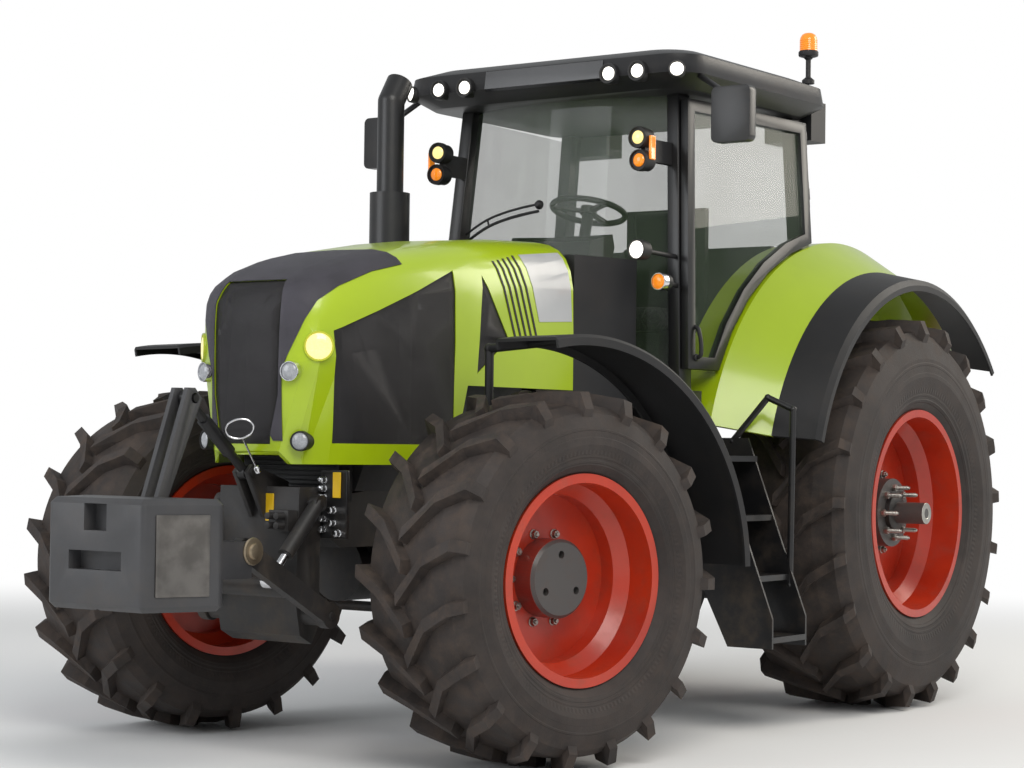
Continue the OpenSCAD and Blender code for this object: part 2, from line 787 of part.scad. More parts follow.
// Lamps of the nose: shares of the bonnet's half width, length and height, then radii and yaws
nose_lamp_shares = [[0.673, 0.0565, 0.462], [0.502, 0.010, 0.362], [0.555, 0.033, 0.0905]];
nose_lamp_rs = [headlamp_r, nose_lamp_r, nose_lamp_r];
nose_lamp_yaws = [42, 16, 22];
lamp_l = 110;
lamp_clear = 26;

function bonnet_y(share) = bonnet_nose_y + share * bonnet_l;
function bonnet_z(share) = mix(bonnet_z0, bonnet_z1, share);

module openings(shrink) {
    half = [for (q = nose_opening_shares) [q[0] * bonnet_w / 2, bonnet_z(q[1])]];
    for (outline = side_opening_shares)
        cross_extrude(-bonnet_w, bonnet_w)
            offset(delta = -shrink) polygon([for (q = outline) [bonnet_y(q[0]), bonnet_z(q[1])]]);
    translate([0, bonnet_nose_y + nose_depth, 0])
        rotate([90, 0, 0])
            linear_extrude(nose_depth + over)
                offset(delta = -shrink)
                    polygon([each half, for (i = [len(half) - 1:-1:0]) [-half[i][0], half[i][1]]]);
}

module nose_lamp_forms(gap) {
    for (i = [0:len(nose_lamp_shares) - 1]) {
        q = nose_lamp_shares[i];
        translate([q[0] * bonnet_w / 2, bonnet_y(q[1]), bonnet_z(q[2])])
            rotate([-90, 0, nose_lamp_yaws[i]])
                translate([0, 0, -gap * lamp_clear]) cylinder(r = nose_lamp_rs[i] + gap, h = lamp_l);
    }
}

module bonnet() {
    slope = step_slope_share * (bonnet_rear_y - bonnet_step_y);
    color(paint_green) difference() {
        union() {
            difference() {
                bonnet_form(0, 0, over);
                bonnet_form(bonnet_t, over, 3 * over);
            }
            both_sides() {
                cross_pin(hinge_x, hinge_x + hinge_w, hinge_y, hinge_z, hinge_r);
                translate([hinge_x, hinge_y - hinge_r, hinge_z]) cube([hinge_w, 2 * hinge_r, hinge_arm_h]);
            }
        }
        translate([-bonnet_w, bonnet_rear_y, bonnet_z0 - over]) cube([2 * bonnet_w, 4 * over, bonnet_z1]);
        cross_extrude(-bonnet_w, bonnet_w)
            polygon([[bonnet_step_y - slope, bonnet_z0 - over], [bonnet_step_y, bonnet_step_z],
                [bonnet_rear_y + over, bonnet_step_z], [bonnet_rear_y + over, bonnet_z0 - over]]);
        openings(0);
        both_sides() {
            nose_lamp_forms(seat_gap);
            cross_pin(hinge_x - over, hinge_x + hinge_w + over, hinge_y, hinge_z, hinge_pin_r + seat_gap);
        }
    }
}

module bonnet_grilles() {
    color(paint_black) difference() {
        intersection() {
            difference() {
                bonnet_form(grille_in, 0, over);
                bonnet_form(grille_in + grille_t, over, 3 * over);
            }
            openings(seat_gap);
        }
        intersection() {
            openings(grille_rim);
            for (z = [bonnet_z0 + slot_pitch:slot_pitch:bonnet_z1])
                translate([-bonnet_w, bonnet_nose_y - over, z]) cube([2 * bonnet_w, bonnet_l, slot_h]);
        }
        both_sides() nose_lamp_forms(seat_gap);
    }
}

module bonnet_lamps() {
    color(steel) both_sides() nose_lamp_forms(0);
}

// Rear fenders

fender_shelf_share = 0.48;
fender_wall = 330;
flare_lip = 60;

module rear_fenders() {
    shelf_x = mix(fender_x0, fender_x1, fender_shelf_share);
    color(paint_green) both_sides()
        cross_revolve(rear_axle_y, rear_axle_z, -fender_lead, fender_lead + fender_trail)
            polygon([[shelf_r - fender_wall, fender_x0], [shelf_r, fender_x0], [shelf_r, shelf_x],
                [fender_r, fender_x1], [fender_r - fender_t, fender_x1],
                    [shelf_r - fender_t, shelf_x - fender_t / 2],
                [shelf_r - fender_t, fender_x0 + fender_t], [shelf_r - fender_wall, fender_x0 + fender_t]]);
}

module fender_flares() {
    color(paint_black) both_sides()
        cross_revolve(rear_axle_y, rear_axle_z, -fender_lead, fender_lead + fender_trail)
            polygon([[fender_r - fender_t, fender_x1], [fender_r, fender_x1],
                [flare_r, flare_x1 - fender_t],
                [flare_r - flare_lip / 2, flare_x1], [flare_r - flare_lip, flare_x1],
                [flare_r - flare_lip, flare_x1 - fender_t / 2], [flare_r - fender_t, flare_x1 - fender_t]]);
}

// Cowl, tanks and steps

cowl_gap = 30;
cowl_front_x = 470;
cowl_rear_x = 570;
cowl_drop = 72;
cowl_z1 = bonnet_z1 - cowl_drop;
cowl_to_cab = 85;
cowl_end_y = cab_y - cowl_to_cab;
cowl_skin = 4;

module cowl_form() {
    front_y = bonnet_rear_y + cowl_gap;
    hull() {
        translate([-cowl_front_x, front_y, bonnet_step_z])
            cube([2 * cowl_front_x, cowl_skin, cowl_z1 - bonnet_step_z]);
        translate([-cowl_rear_x, cowl_end_y - cowl_skin, floor_z - floor_t])
            cube([2 * cowl_rear_x, cowl_skin, cowl_z1 - floor_z + floor_t]);
    }
}

// Bonnet hinge: two knuckles on the bonnet turn on pins held by ears of the cowl
hinge_x = 240;
hinge_r = 18;
hinge_pin_r = 9;
hinge_w = 60;
hinge_ear_t = 20;
hinge_ear_h = 60;
hinge_arm_h = 54;
hinge_y = bonnet_rear_y - hinge_r;
hinge_drop = 70;
hinge_z = bonnet_z1 - hinge_drop;

module cowl() {
    color(paint_black) union() {
        cowl_form();
        both_sides() {
            for (x = [hinge_x - hinge_ear_t - swing_gap, hinge_x + hinge_w + swing_gap]) {
                cross_pin(x, x + hinge_ear_t, hinge_y, hinge_z, hinge_r);
                translate([x, hinge_y - hinge_r, hinge_z - hinge_ear_h])
                    cube([hinge_ear_t, 2 * hinge_r + cowl_gap + cowl_skin, hinge_ear_h - hinge_r / 2]);
            }
            cross_pin(hinge_x - hinge_ear_t - swing_gap, hinge_x + hinge_w + hinge_ear_t + swing_gap,
                hinge_y, hinge_z, hinge_pin_r);
        }
    }
}

// Ends of the tanks: shares of the room between the tyres
tank_end_shares = [0.368, 0.922];
tyre_room = [front_axle_y + front_tyre_r, rear_axle_y - rear_tyre_r];
tank_front_y = mix(tyre_room[0], tyre_room[1], tank_end_shares[0]);
tank_rear_y = mix(tyre_room[0], tyre_room[1], tank_end_shares[1]);
tank_x1 = 760;
tank_z0 = 520;
tank_drop = 120;
tank_z1 = floor_z - floor_t - tank_drop;
// Side outline of the tanks: shares of their length and height
tank_shares = [[0.08, 0], [0.70, 0], [1, 0.30], [0.94, 0.62], [0.62, 0.82], [0.5, 1], [0.06, 1],
    [0, 0.92], [0, 0.1]];

module tank_form(x0, x1) {
    cross_extrude(x0, x1)
        polygon([for (s = tank_shares) [mix(tank_front_y, tank_rear_y, s[0]),
            mix(tank_z0, tank_z1, s[1])]]);
}

module fuel_tank() {
    color(paint_black) tank_form(gearbox_x, tank_x1);
}

box_x1 = 740;

module tool_box() {
    color(paint_black) tank_form(-box_x1, -gearbox_x);
}

step_lead = 110;
step_y0 = cab_y - step_lead;
step_w = 350;
step_count = 4;
step_low_z = 430;
step_pitch = 290;
step_deep = 245;
step_shift = 95;
step_out_x = 1375;
step_plate = 14;
rail_r = 16;
rail_ball_r = 18;
rail_top_share = 0.7;

module steps() {
    top_z = step_low_z + (step_count - 1) * step_pitch + step_pitch / 2;
    top_x = step_out_x - step_count * step_shift + step_shift / 2;
    outline = [[step_out_x - step_deep, step_low_z], [step_out_x, step_low_z],
        [step_out_x, step_low_z + step_pitch / 2], [top_x, top_z], [tank_x1, top_z],
        [tank_x1, top_z - step_pitch]];
    rail = [[step_out_x - step_shift, step_y0 + step_w, step_low_z + step_pitch],
        [step_out_x - step_shift, step_y0 + step_w + rail_r, top_z + step_pitch / 2],
        [step_out_x - 2 * step_shift - step_shift / 2, step_y0 + step_w + rail_r,
            top_z + rail_top_share * step_pitch],
        [top_x - step_shift, step_y0 + step_w, top_z - rail_r]];
    color(paint_black) union() {
        for (y = [step_y0, step_y0 + step_w - step_plate])
            translate([0, y + step_plate, 0])
                rotate([90, 0, 0]) linear_extrude(step_plate) polygon(outline);
        for (i = [0:step_count - 1])
            translate([step_out_x - step_deep - i * step_shift, step_y0,
                step_low_z + i * step_pitch + 2 * step_plate])
                cube([step_deep, step_w, 2 * step_plate]);
        for (i = [0:2]) bar(rail[i], rail[i + 1], rail_r);
        for (i = [0:3]) translate(rail[i]) sphere(r = rail_ball_r);
    }
}

stack_x = -720;
stack_back = 70;
stack_y = bonnet_rear_y + stack_back;
stack_r = 70;
shield_r = 105;
shield_z0 = 2060;
shield_z1 = 2700;
stack_z1 = 3180;
stack_lean = 70;
stack_tip = 110;
stack_wall = 5;
stack_arm_h = 160;
stack_arm_d = 60;

module exhaust() {
    color(paint_black) difference() {
        union() {
            translate([stack_x, stack_y, shield_z0]) cylinder(r = shield_r, h = shield_z1 - shield_z0);
            translate([stack_x, stack_y, shield_z0]) cylinder(r = stack_r, h = stack_z1 - shield_z0);
            translate([stack_x, stack_y, stack_z1]) sphere(r = stack_r);
            bar([stack_x, stack_y, stack_z1], [stack_x, stack_y + stack_lean, stack_z1 + stack_tip],
                stack_r);
            translate([stack_x, stack_y - stack_arm_d / 2, shield_z0 + stack_arm_d])
                cube([-stack_x, stack_arm_d, stack_arm_h]);
        }
        cowl_form();
        translate([-cowl_front_x, front_axle_y, shield_z0]) cube([2 * cowl_front_x, wheelbase, shield_z1]);
        bar([stack_x, stack_y, stack_z1],
            [stack_x, stack_y + 2 * stack_lean, stack_z1 + 2 * stack_tip], stack_r - stack_wall);
    }
}

// Cab

cab_rear_y = cab_y + cab_l;
roof_z1 = roof_z + roof_t;
waist_drop = 30;
waist_z = rear_axle_z + shelf_r - waist_drop;
floor_wide_l = 195;
floor_wide_y = cab_y + floor_wide_l;
floor_front_x = 790;
wall_t = 40;
wall_y = cab_rear_y - pillar_d / 2;

// Frame of a cab side: local x points outwards, y backwards and z up along the side
module at_side() {
    translate([side_x, cab_y, floor_z]) rotate([0, 0, -side_yaw]) rotate([0, -side_lean, 0]) children();
}

module cab_slab() {
    translate([-2 * roof_x, cab_y - cab_l, floor_z]) cube([4 * roof_x, 3 * cab_l, roof_z - floor_z]);
}

module cab_floor() {
    inner_x = fender_x0 - seat_gap;
    color(cast_black) union() {
        translate([0, 0, floor_z - floor_t])
            linear_extrude(floor_t)
                polygon([[-floor_front_x, cowl_end_y], [floor_front_x, cowl_end_y],
                    [floor_front_x, floor_wide_y],
                    [inner_x, floor_wide_y], [inner_x, wall_y + wall_t], [-inner_x, wall_y + wall_t],
                    [-inner_x, floor_wide_y], [-floor_front_x, floor_wide_y]]);
        translate([-inner_x, wall_y, floor_z - floor_t])
            cube([2 * inner_x, wall_t, waist_z - floor_z + floor_t]);
    }
}

module front_pillar_form() {
    intersection() {
        at_side()
            rotate([-pillar_rake, 0, 0])
                translate([-swing_gap - pillar_w, 0, -pillar_d])
                    cube([pillar_w, pillar_d, roof_z - floor_z + 2 * pillar_d]);
        cab_slab();
    }
}

module front_pillars() {
    color(paint_black) both_sides() front_pillar_form();
}

door_hinge_in = 40;
door_hinge_y = cab_l - door_hinge_in;
door_hinge_r = 16;
door_pin_r = 8;
door_barrel_h = 60;
door_hinge_shares = [0.72, 0.93];
door_lug_h = 40;
door_lug_in = 6;
door_lug_gap = 1;

module rear_pillar_form() {
    difference() {
        intersection() {
            at_side()
                translate([-swing_gap - pillar_w, cab_l - pillar_d, 0])
                    cube([pillar_w, pillar_d, roof_z - floor_z + pillar_d]);
            cab_slab();
        }
        cross_pin(0, 2 * roof_x, rear_axle_y, rear_axle_z, shelf_r + seat_gap, $fn = fender_fn);
    }
}

module door_hinge_lugs() {
    at_side()
        for (s = door_hinge_shares) {
            z = s * door_top;
            for (lug_z = [z - door_lug_h - door_lug_gap, z + door_barrel_h + door_lug_gap])
                translate([-swing_gap - over, door_hinge_y - door_lug_in, lug_z])
                    cube([swing_gap + over + door_t / 2 + door_lug_in, door_hinge_r + door_lug_in,
                        door_lug_h]);
            translate([door_t / 2, door_hinge_y, z - door_lug_h - door_lug_gap])
                cylinder(r = door_pin_r, h = 2 * (door_lug_h + door_lug_gap) + door_barrel_h);
        }
}

module rear_pillars() {
    color(paint_black) union() {
        both_sides() rear_pillar_form();
        door_hinge_lugs();
    }
}

// Roof plan: shares of its half width and length at three heights
roof_heights_shares = [0, 0.32, 0.78, 1];
roof_insets_shares = [0.10, 0, 0.015, 0.14];
roof_corner_r = 170;
roof_skin = 1;
roof_front_y = cab_y - roof_over;

module roof_form() {
    hull()
        for (i = [0:len(roof_heights_shares) - 1])
            let (in = roof_insets_shares[i] * roof_x, z = mix(roof_z, roof_z1, roof_heights_shares[i]))
            for (side = sides, y = [roof_front_y + in + roof_corner_r,
                roof_front_y + roof_l - in - roof_corner_r])
                translate([side * (roof_x - in - roof_corner_r), y, z - (i > 0 ? roof_skin : 0)])
                    cylinder(r = roof_corner_r, h = roof_skin, $fn = 32);
}

module roof() {
    color(paint_black) roof_form();
}

screen_out = 62;
screen_front_y = cab_y - screen_out;
screen_angle = 28;

module outside_pillars(gap) {
    both_sides()
        at_side()
            translate([-swing_gap - pillar_w - gap, -cab_l, -cab_l]) cube([cab_l, 4 * cab_l, 4 * cab_l]);
}

module windscreen() {
    color(glass_tint) difference() {
        intersection() {
            translate([0, screen_front_y, floor_z])
                rotate([-pillar_rake, 0, 0])
                    translate([0, screen_r, -pillar_d])
                        rotate([0, 0, 270 - screen_angle])
                            rotate_extrude(angle = 2 * screen_angle, $fn = fender_fn)
                                translate([screen_r - glass_t, 0])
                                    square([glass_t, roof_z - floor_z + 2 * pillar_d]);
            cab_slab();
        }
        outside_pillars(seat_gap);
    }
}

rear_glass_in = 20;

module rear_window() {
    color(glass_tint) difference() {
        translate([-roof_x, wall_y + rear_glass_in, waist_z]) cube([2 * roof_x, glass_t, roof_z - waist_z]);
        outside_pillars(seat_gap);
    }
}

// Door, and the fixed pane of the other side, in the frame of a cab side
door_front = 14;
door_edge = 10;
door_top_gap = 24;
door_top = roof_z - floor_z - door_top_gap;
door_arc_steps = 5;
door_top_share = 0.086;

// The lower rear edge follows the fender, from the door's foot to its hinge
function door_outline() =
    let (end = door_hinge_y - door_edge, axle = rear_axle_y - cab_y,
         from = -acos(door_low / door_arc_r), to = -asin((axle - end) / door_arc_r))
    [[door_front, door_sill],
        for (i = [0:door_arc_steps])
            let (a = mix(from, to, i / door_arc_steps))
            [axle + door_arc_r * sin(a), rear_axle_z - floor_z + door_arc_r * cos(a)],
        [end, door_top], [mix(door_front, end, door_top_share), door_top]];

module door_panel(x0, t, rim) {
    translate([x0, 0, 0])
        rotate([90, 0, 90])
            linear_extrude(t)
                offset(delta = -rim) polygon(door_outline());
}

module door_frame() {
    color(paint_black) at_side() difference() {
        union() {
            difference() {
                door_panel(0, door_t, 0);
                door_panel(-over, door_t + 2 * over, door_rim);
            }
            for (s = door_hinge_shares)
                translate([door_t / 2, door_hinge_y, s * door_top])
                    cylinder(r = door_hinge_r, h = door_barrel_h);
        }
        for (s = door_hinge_shares)
            translate([door_t / 2, door_hinge_y, s * door_top - over])
                cylinder(r = door_pin_r + seat_gap, h = door_barrel_h + 2 * over);
    }
}

module door_glass() {
    color(glass_tint) at_side() door_panel((door_t - glass_t) / 2, glass_t, door_rim + seat_gap);
}

module side_window() {
    color(glass_tint) mirror([1, 0, 0]) at_side() door_panel(-swing_gap, glass_t, 0);
}

// Inside the cab

dash_x = 170;
dash_back = 70;
dash_y0 = cab_y + dash_back;
// Side outline of the dashboard: shares of its depth and height
dash_shares = [[0.1, 0], [0.75, 0], [0.6, 0.55], [1, 0.92], [0.92, 1], [0.1, 0.94], [0, 0.8]];
dash_d = 260;
dash_z1 = 2510;
column_r = 30;
column_share = 0.85;
column_y = dash_y0 + column_share * dash_d;
column_tilt = 15;
column_l = 150;
wheel_r = 195;
wheel_rim_r = 16;
wheel_hub_r = 45;
wheel_hub_h = 40;
spoke_w = 34;

module at_column() {
    translate([0, column_y, dash_z1 - column_r]) rotate([-column_tilt, 0, 0]) children();
}

module dashboard() {
    color(paint_black) union() {
        cross_extrude(-dash_x, dash_x)
            polygon([for (s = dash_shares) [dash_y0 + s[0] * dash_d, mix(floor_z, dash_z1, s[1])]]);
        at_column() translate([0, 0, -column_r]) cylinder(r = column_r, h = column_l + column_r);
    }
}

module steering_wheel() {
    color(paint_black) at_column() translate([0, 0, column_l]) union() {
        cylinder(r = wheel_hub_r, h = wheel_hub_h);
        translate([0, 0, wheel_hub_h / 2]) rotate_extrude() translate([wheel_r, 0]) circle(r = wheel_rim_r);
        for (a = [90, 210, 330])
            rotate(a) translate([0, -spoke_w / 2, wheel_rim_r / 2]) cube([wheel_r, spoke_w, wheel_rim_r]);
    }
}

seat_place = 640;
seat_y0 = cab_y + seat_place;
seat_x = 255;
seat_z0 = 2030;
seat_pad = 110;
seat_d = 480;
seat_back_h = 690;
seat_back_d = 120;
seat_gap_back = 12;
pedestal_x = 190;
arm_rest_x = 330;
arm_rest_w = 110;
arm_rest_z = 2270;
arm_rest_h = 80;
arm_rest_d = 420;

module seat_base() {
    color(paint_black) union() {
        translate([-pedestal_x, seat_y0 + seat_pad, floor_z])
            cube([2 * pedestal_x, seat_d - seat_pad, seat_z0 - floor_z]);
        translate([-seat_x, seat_y0 + seat_d, seat_z0 - seat_pad])
            cube([2 * seat_x, seat_back_d / 3, seat_pad + seat_back_h]);
        translate([-pedestal_x, seat_y0 + seat_pad, seat_z0 - seat_pad])
            cube([2 * pedestal_x, seat_d, seat_pad]);
        translate([-arm_rest_x - arm_rest_w / 2, seat_y0, arm_rest_z])
            cube([arm_rest_w, arm_rest_d, arm_rest_h]);
        translate([-arm_rest_x - arm_rest_w / 4, seat_y0 + seat_pad, seat_z0 - seat_pad])
            cube([arm_rest_w / 2, seat_pad, arm_rest_z - seat_z0 + seat_pad]);
        translate([-arm_rest_x, seat_y0 + seat_pad, seat_z0 - seat_pad])
            cube([arm_rest_x, seat_pad, seat_pad - seat_gap_back]);
    }
}

module seat() {
    color(cast_grey) union() {
        translate([-seat_x, seat_y0, seat_z0]) cube([2 * seat_x, seat_d - seat_back_d - seat_gap_back,
            seat_pad]);
        translate([-seat_x, seat_y0 + seat_d - seat_back_d, seat_z0 + seat_gap_back])
            cube([2 * seat_x, seat_back_d, seat_back_h]);
    }
}

// Lamps, mirrors and beacon

roof_lamp_xs = [450, 620];
roof_lamp_r = 48;
roof_lamp_l = 150;
roof_lamp_up = 80;
roof_lamp_z = roof_z + roof_lamp_up;
roof_lamp_out = 12;
pillar_lamp_r = 50;
pillar_lamp_l = 70;
pillar_lamp_zs = [1265, 1150];
pillar_lamp_x = -60;
pillar_lamp_y = -180;
pillar_stay = 26;

module behind_pillar_face() {
    at_side()
        rotate([-pillar_rake, 0, 0])
            translate([-swing_gap - 2 * pillar_w, 0, -pillar_d]) cube([3 * pillar_w, 2 * cab_l, 2 * cab_l]);
}

module pillar_lamps() {
    difference() {
        at_side() union() {
            for (z = pillar_lamp_zs)
                translate([pillar_lamp_x, pillar_lamp_y, z])
                    rotate([-90, 0, 0]) cylinder(r = pillar_lamp_r, h = pillar_lamp_l);
            translate([pillar_lamp_x - pillar_stay / 2, pillar_lamp_y + pillar_lamp_l / 2,
                pillar_lamp_zs[1]])
                cube([pillar_stay, pillar_d - pillar_lamp_y, pillar_lamp_zs[0] - pillar_lamp_zs[1]]);
        }
        behind_pillar_face();
    }
}

// Lamps low on the left front pillar: x, y and height in the frame of the cab's side, then their radii
low_lamps = [[18, -340, 680], [36, -190, 530]];
low_lamp_rs = [46, 40];
low_lamp_l = 60;
low_stay_r = 12;

module low_lamp_forms() {
    difference() {
        at_side()
            for (i = [0:1]) {
                p = low_lamps[i];
                translate(p) rotate([-90, 0, 0]) cylinder(r = low_lamp_rs[i], h = low_lamp_l);
                bar(p + [0, low_lamp_l / 2, 0], [-swing_gap - pillar_w / 2, pillar_d, p.z], low_stay_r);
            }
        behind_pillar_face();
    }
}

// Rear lamp pods under the roof's tail
pod_x = 520;
pod_w = 290;
pod_d = 165;
pod_drop = 110;
pod_gap = 16;

module work_lamps() {
    color(steel) {
        low_lamp_forms();
        both_sides() {
            pillar_lamps();
            difference() {
                union() {
                    for (x = roof_lamp_xs)
                        translate([x, roof_front_y - roof_lamp_out, roof_lamp_z])
                            rotate([-90, 0, 0]) cylinder(r = roof_lamp_r, h = roof_lamp_l);
                    translate([pod_x, cab_rear_y + pod_gap, roof_z - pod_drop])
                        cube([pod_w, pod_d, 2 * pod_drop]);
                }
                roof_form();
            }
        }
    }
}

rear_lamp_w = 200;
rear_lamp_h = 110;
rear_lamp_d = 50;

// The rear lamps stand on the tail end of the fenders
module rear_lamps() {
    color(rim_red) both_sides()
        translate([0, rear_axle_y, rear_axle_z])
            rotate([-fender_trail, 0, 0])
                translate([fender_x0, 0, shelf_r - rear_lamp_h])
                    cube([rear_lamp_w, rear_lamp_d, rear_lamp_h]);
}

// Reach of the mirrors from the centre line, left and right
mirror_xs = [1137, 1040];
mirror_lead = 120;
mirror_y = cab_y - mirror_lead;
mirror_w = 215;
mirror_h = 275;
mirror_d = 62;
mirror_z0 = 2885;
mirror_corner_r = 30;
mirror_arm_r = 15;
mirror_arm_in = 60;

module mirror_head() {
    translate([-mirror_w / 2, -mirror_d / 2, 0])
        rotate([90, 0, 0])
            translate([0, 0, -mirror_d])
                linear_extrude(mirror_d)
                    offset(r = mirror_corner_r) offset(delta = -mirror_corner_r)
                        square([mirror_w, mirror_h]);
}

module mirrors() {
    arm_z = mirror_z0 + mirror_h - mirror_arm_in;
    color(paint_black)
        for (i = [0:1])
            on(sides[i]) difference() {
                union() {
                    translate([mirror_xs[i], mirror_y, mirror_z0]) mirror_head();
                    bar([mirror_xs[i], mirror_y, arm_z], [roof_x - mirror_arm_in, cab_y, roof_lamp_z],
                        mirror_arm_r);
                }
                roof_form();
            }
}

beacon_x = 820;
beacon_in = 150;
beacon_y = roof_front_y + roof_l - beacon_in;
beacon_r = 55;
beacon_h = 130;
beacon_up = 135;
beacon_z = roof_z1 + beacon_up;
pole_r = 14;

module beacon() {
    color("orange") difference() {
        union() {
            translate([beacon_x, beacon_y, beacon_z]) cylinder(r = beacon_r, h = beacon_h);
            translate([beacon_x, beacon_y, roof_lamp_z]) cylinder(r = pole_r, h = beacon_z - roof_z);
        }
        roof_form();
    }
}

// Front linkage, with its points as [y, z]

function ahead(reach, z) = [front_axle_y - reach, z];

module flat_link(p, q, rp, rq, x, t) {
    v = (q - p) / norm(q - p);
    n = [-v.y, v.x] * link_waist_share;
    for (e = [[p, rp], [q, rq]]) cross_pin(x - t / 2, x + t / 2, e[0].x, e[0].y, e[1]);
    cross_extrude(x - t / 2, x + t / 2) polygon([p + rp * n, p - rp * n, q - rq * n, q + rq * n]);
}

link_waist_share = 0.8;
arm_p = ahead(front_pivot, front_pivot_z);
hook_p = ahead(hook_reach, hook_z);
mast_p = ahead(mast_reach, mast_z);
top_p = ahead(top_pin_reach, top_pin_z);
ram_top_reach = 635;
ram_top_z = 1130;
ram_top_p = ahead(ram_top_reach, ram_top_z);
ram_share = 0.55;
ram_low_p = mix(arm_p, hook_p, ram_share);
ram_x = 275;
ram_t = 46;
ram_r = 34;
ram_rod_r = 18;
ram_l = 300;
ram_eye_r = 36;
block_x = 230;
block_d = 160;
block_z0 = 515;
block_z1 = 1200;
// Side outline of the linkage block: shares of its depth and height
block_shares = [[0, 1], [0, 0.12], [0.3, 0], [0.8, 0.06], [1, 0.28], [0.9, 1]];
boss_r = 46;
arm_eye_r = 56;
cheek_x = 24;
cheek_t = 20;
cheek_r = 34;
cheek_foot_share = 0.8;
pin_end = 8;
// Couplers of the front hoses
coupler_x = 110;
coupler_w = 110;
coupler_h = 90;
coupler_d = 46;
coupler_z = 1010;
coupler_r = 15;
coupler_shares = [0.27, 0.73];

module front_linkage_frame() {
    y0 = front_axle_y - frame_nose;
    color(cast_black) union() {
        cross_extrude(-block_x, block_x)
            polygon([for (q = block_shares) [y0 - q[0] * block_d, mix(block_z0, block_z1, q[1])]]);
        both_sides() {
            cross_pin(block_x - over, front_arm_x - front_arm_t / 2 - pin_end, arm_p.x, arm_p.y, boss_r);
            cross_pin(block_x - over, front_arm_x + front_arm_t / 2 + pin_end, arm_p.x, arm_p.y,
                front_pin_r);
            cross_pin(block_x - over, ram_x + ram_t / 2 + pin_end / 2, ram_top_p.x, ram_top_p.y,
                front_pin_r);
            cross_extrude(cheek_x, cheek_x + cheek_t)
                polygon([[y0, block_z1], [y0 - block_d, mix(block_z0, block_z1, cheek_foot_share)],
                    top_p - [cheek_r, 0], top_p + [0, cheek_r], [y0, block_z1 + over]]);
        }
        cross_pin(-cheek_x - cheek_t - pin_end, cheek_x + cheek_t + pin_end, top_p.x, top_p.y, front_pin_r);
        translate([coupler_x, y0 - block_d - coupler_d, coupler_z])
            cube([coupler_w, 2 * coupler_d, coupler_h]);
        for (a = coupler_shares, b = coupler_shares)
            translate([coupler_x + a * coupler_w, y0 - block_d - coupler_d, coupler_z + b * coupler_h])
                rotate([90, 0, 0]) cylinder(r = coupler_r, h = coupler_d);
    }
}

tube_share = 0.42;
tube_r = 40;

module front_links() {
    tube_p = mix(arm_p, hook_p, tube_share);
    x0 = front_arm_x - front_arm_t / 2;
    color(cast_black) difference() {
        union() {
            both_sides() {
                flat_link(arm_p, hook_p, arm_eye_r, arm_eye_r, front_arm_x, front_arm_t);
                cross_pin(ram_x + ram_t / 2 + pin_end / 2, front_arm_x, ram_low_p.x, ram_low_p.y,
                    front_pin_r);
            }
            cross_pin(-front_arm_x, front_arm_x, tube_p.x, tube_p.y, tube_r);
        }
        both_sides() {
            cross_pin(x0 - over, x0 + front_arm_t + over, arm_p.x, arm_p.y, front_pin_r + seat_gap);
            cross_pin(x0 - over, x0 + front_arm_t + over, hook_p.x, hook_p.y, front_pin_r + seat_gap);
            translate([x0 - over, hook_p.x - front_pin_r - seat_gap, hook_p.y])
                cube([front_arm_t + 2 * over, 2 * (front_pin_r + seat_gap), 2 * arm_eye_r]);
        }
    }
}

weight_y0 = front_axle_y - nose_reach;
weight_y1 = front_axle_y - weight_back;
flange_d = 42;
mast_gap = 26;
mast_t = 22;
mast_eye_r = 44;
mast_hole_r = 22;
mast_base_y = 60;
weight_round = 30;
weight_bevel = 24;
lug_gap = 7;
weight_lug_t = 18;
weight_lug_r = 42;
weight_lug_h = 110;
slot_d = 70;
// Heights of the ballast's slots as shares of its height: lower slot, upper slot
slot_shares = [[0.36, 0.53], [0.71, 0.95]];
// Their widths as shares of the ballast's front
slot_width_shares = [0.56, 0.24];
tow_bore_r = 16;

module weight_outline(in) {
    offset(delta = -in) offset(r = weight_round) offset(delta = -weight_round)
        polygon([[-weight_front_x, weight_y0], [weight_front_x, weight_y0],
            [weight_rear_x, weight_y1 - flange_d], [weight_rear_x, weight_y1],
            [-weight_rear_x, weight_y1], [-weight_rear_x, weight_y1 - flange_d]]);
}

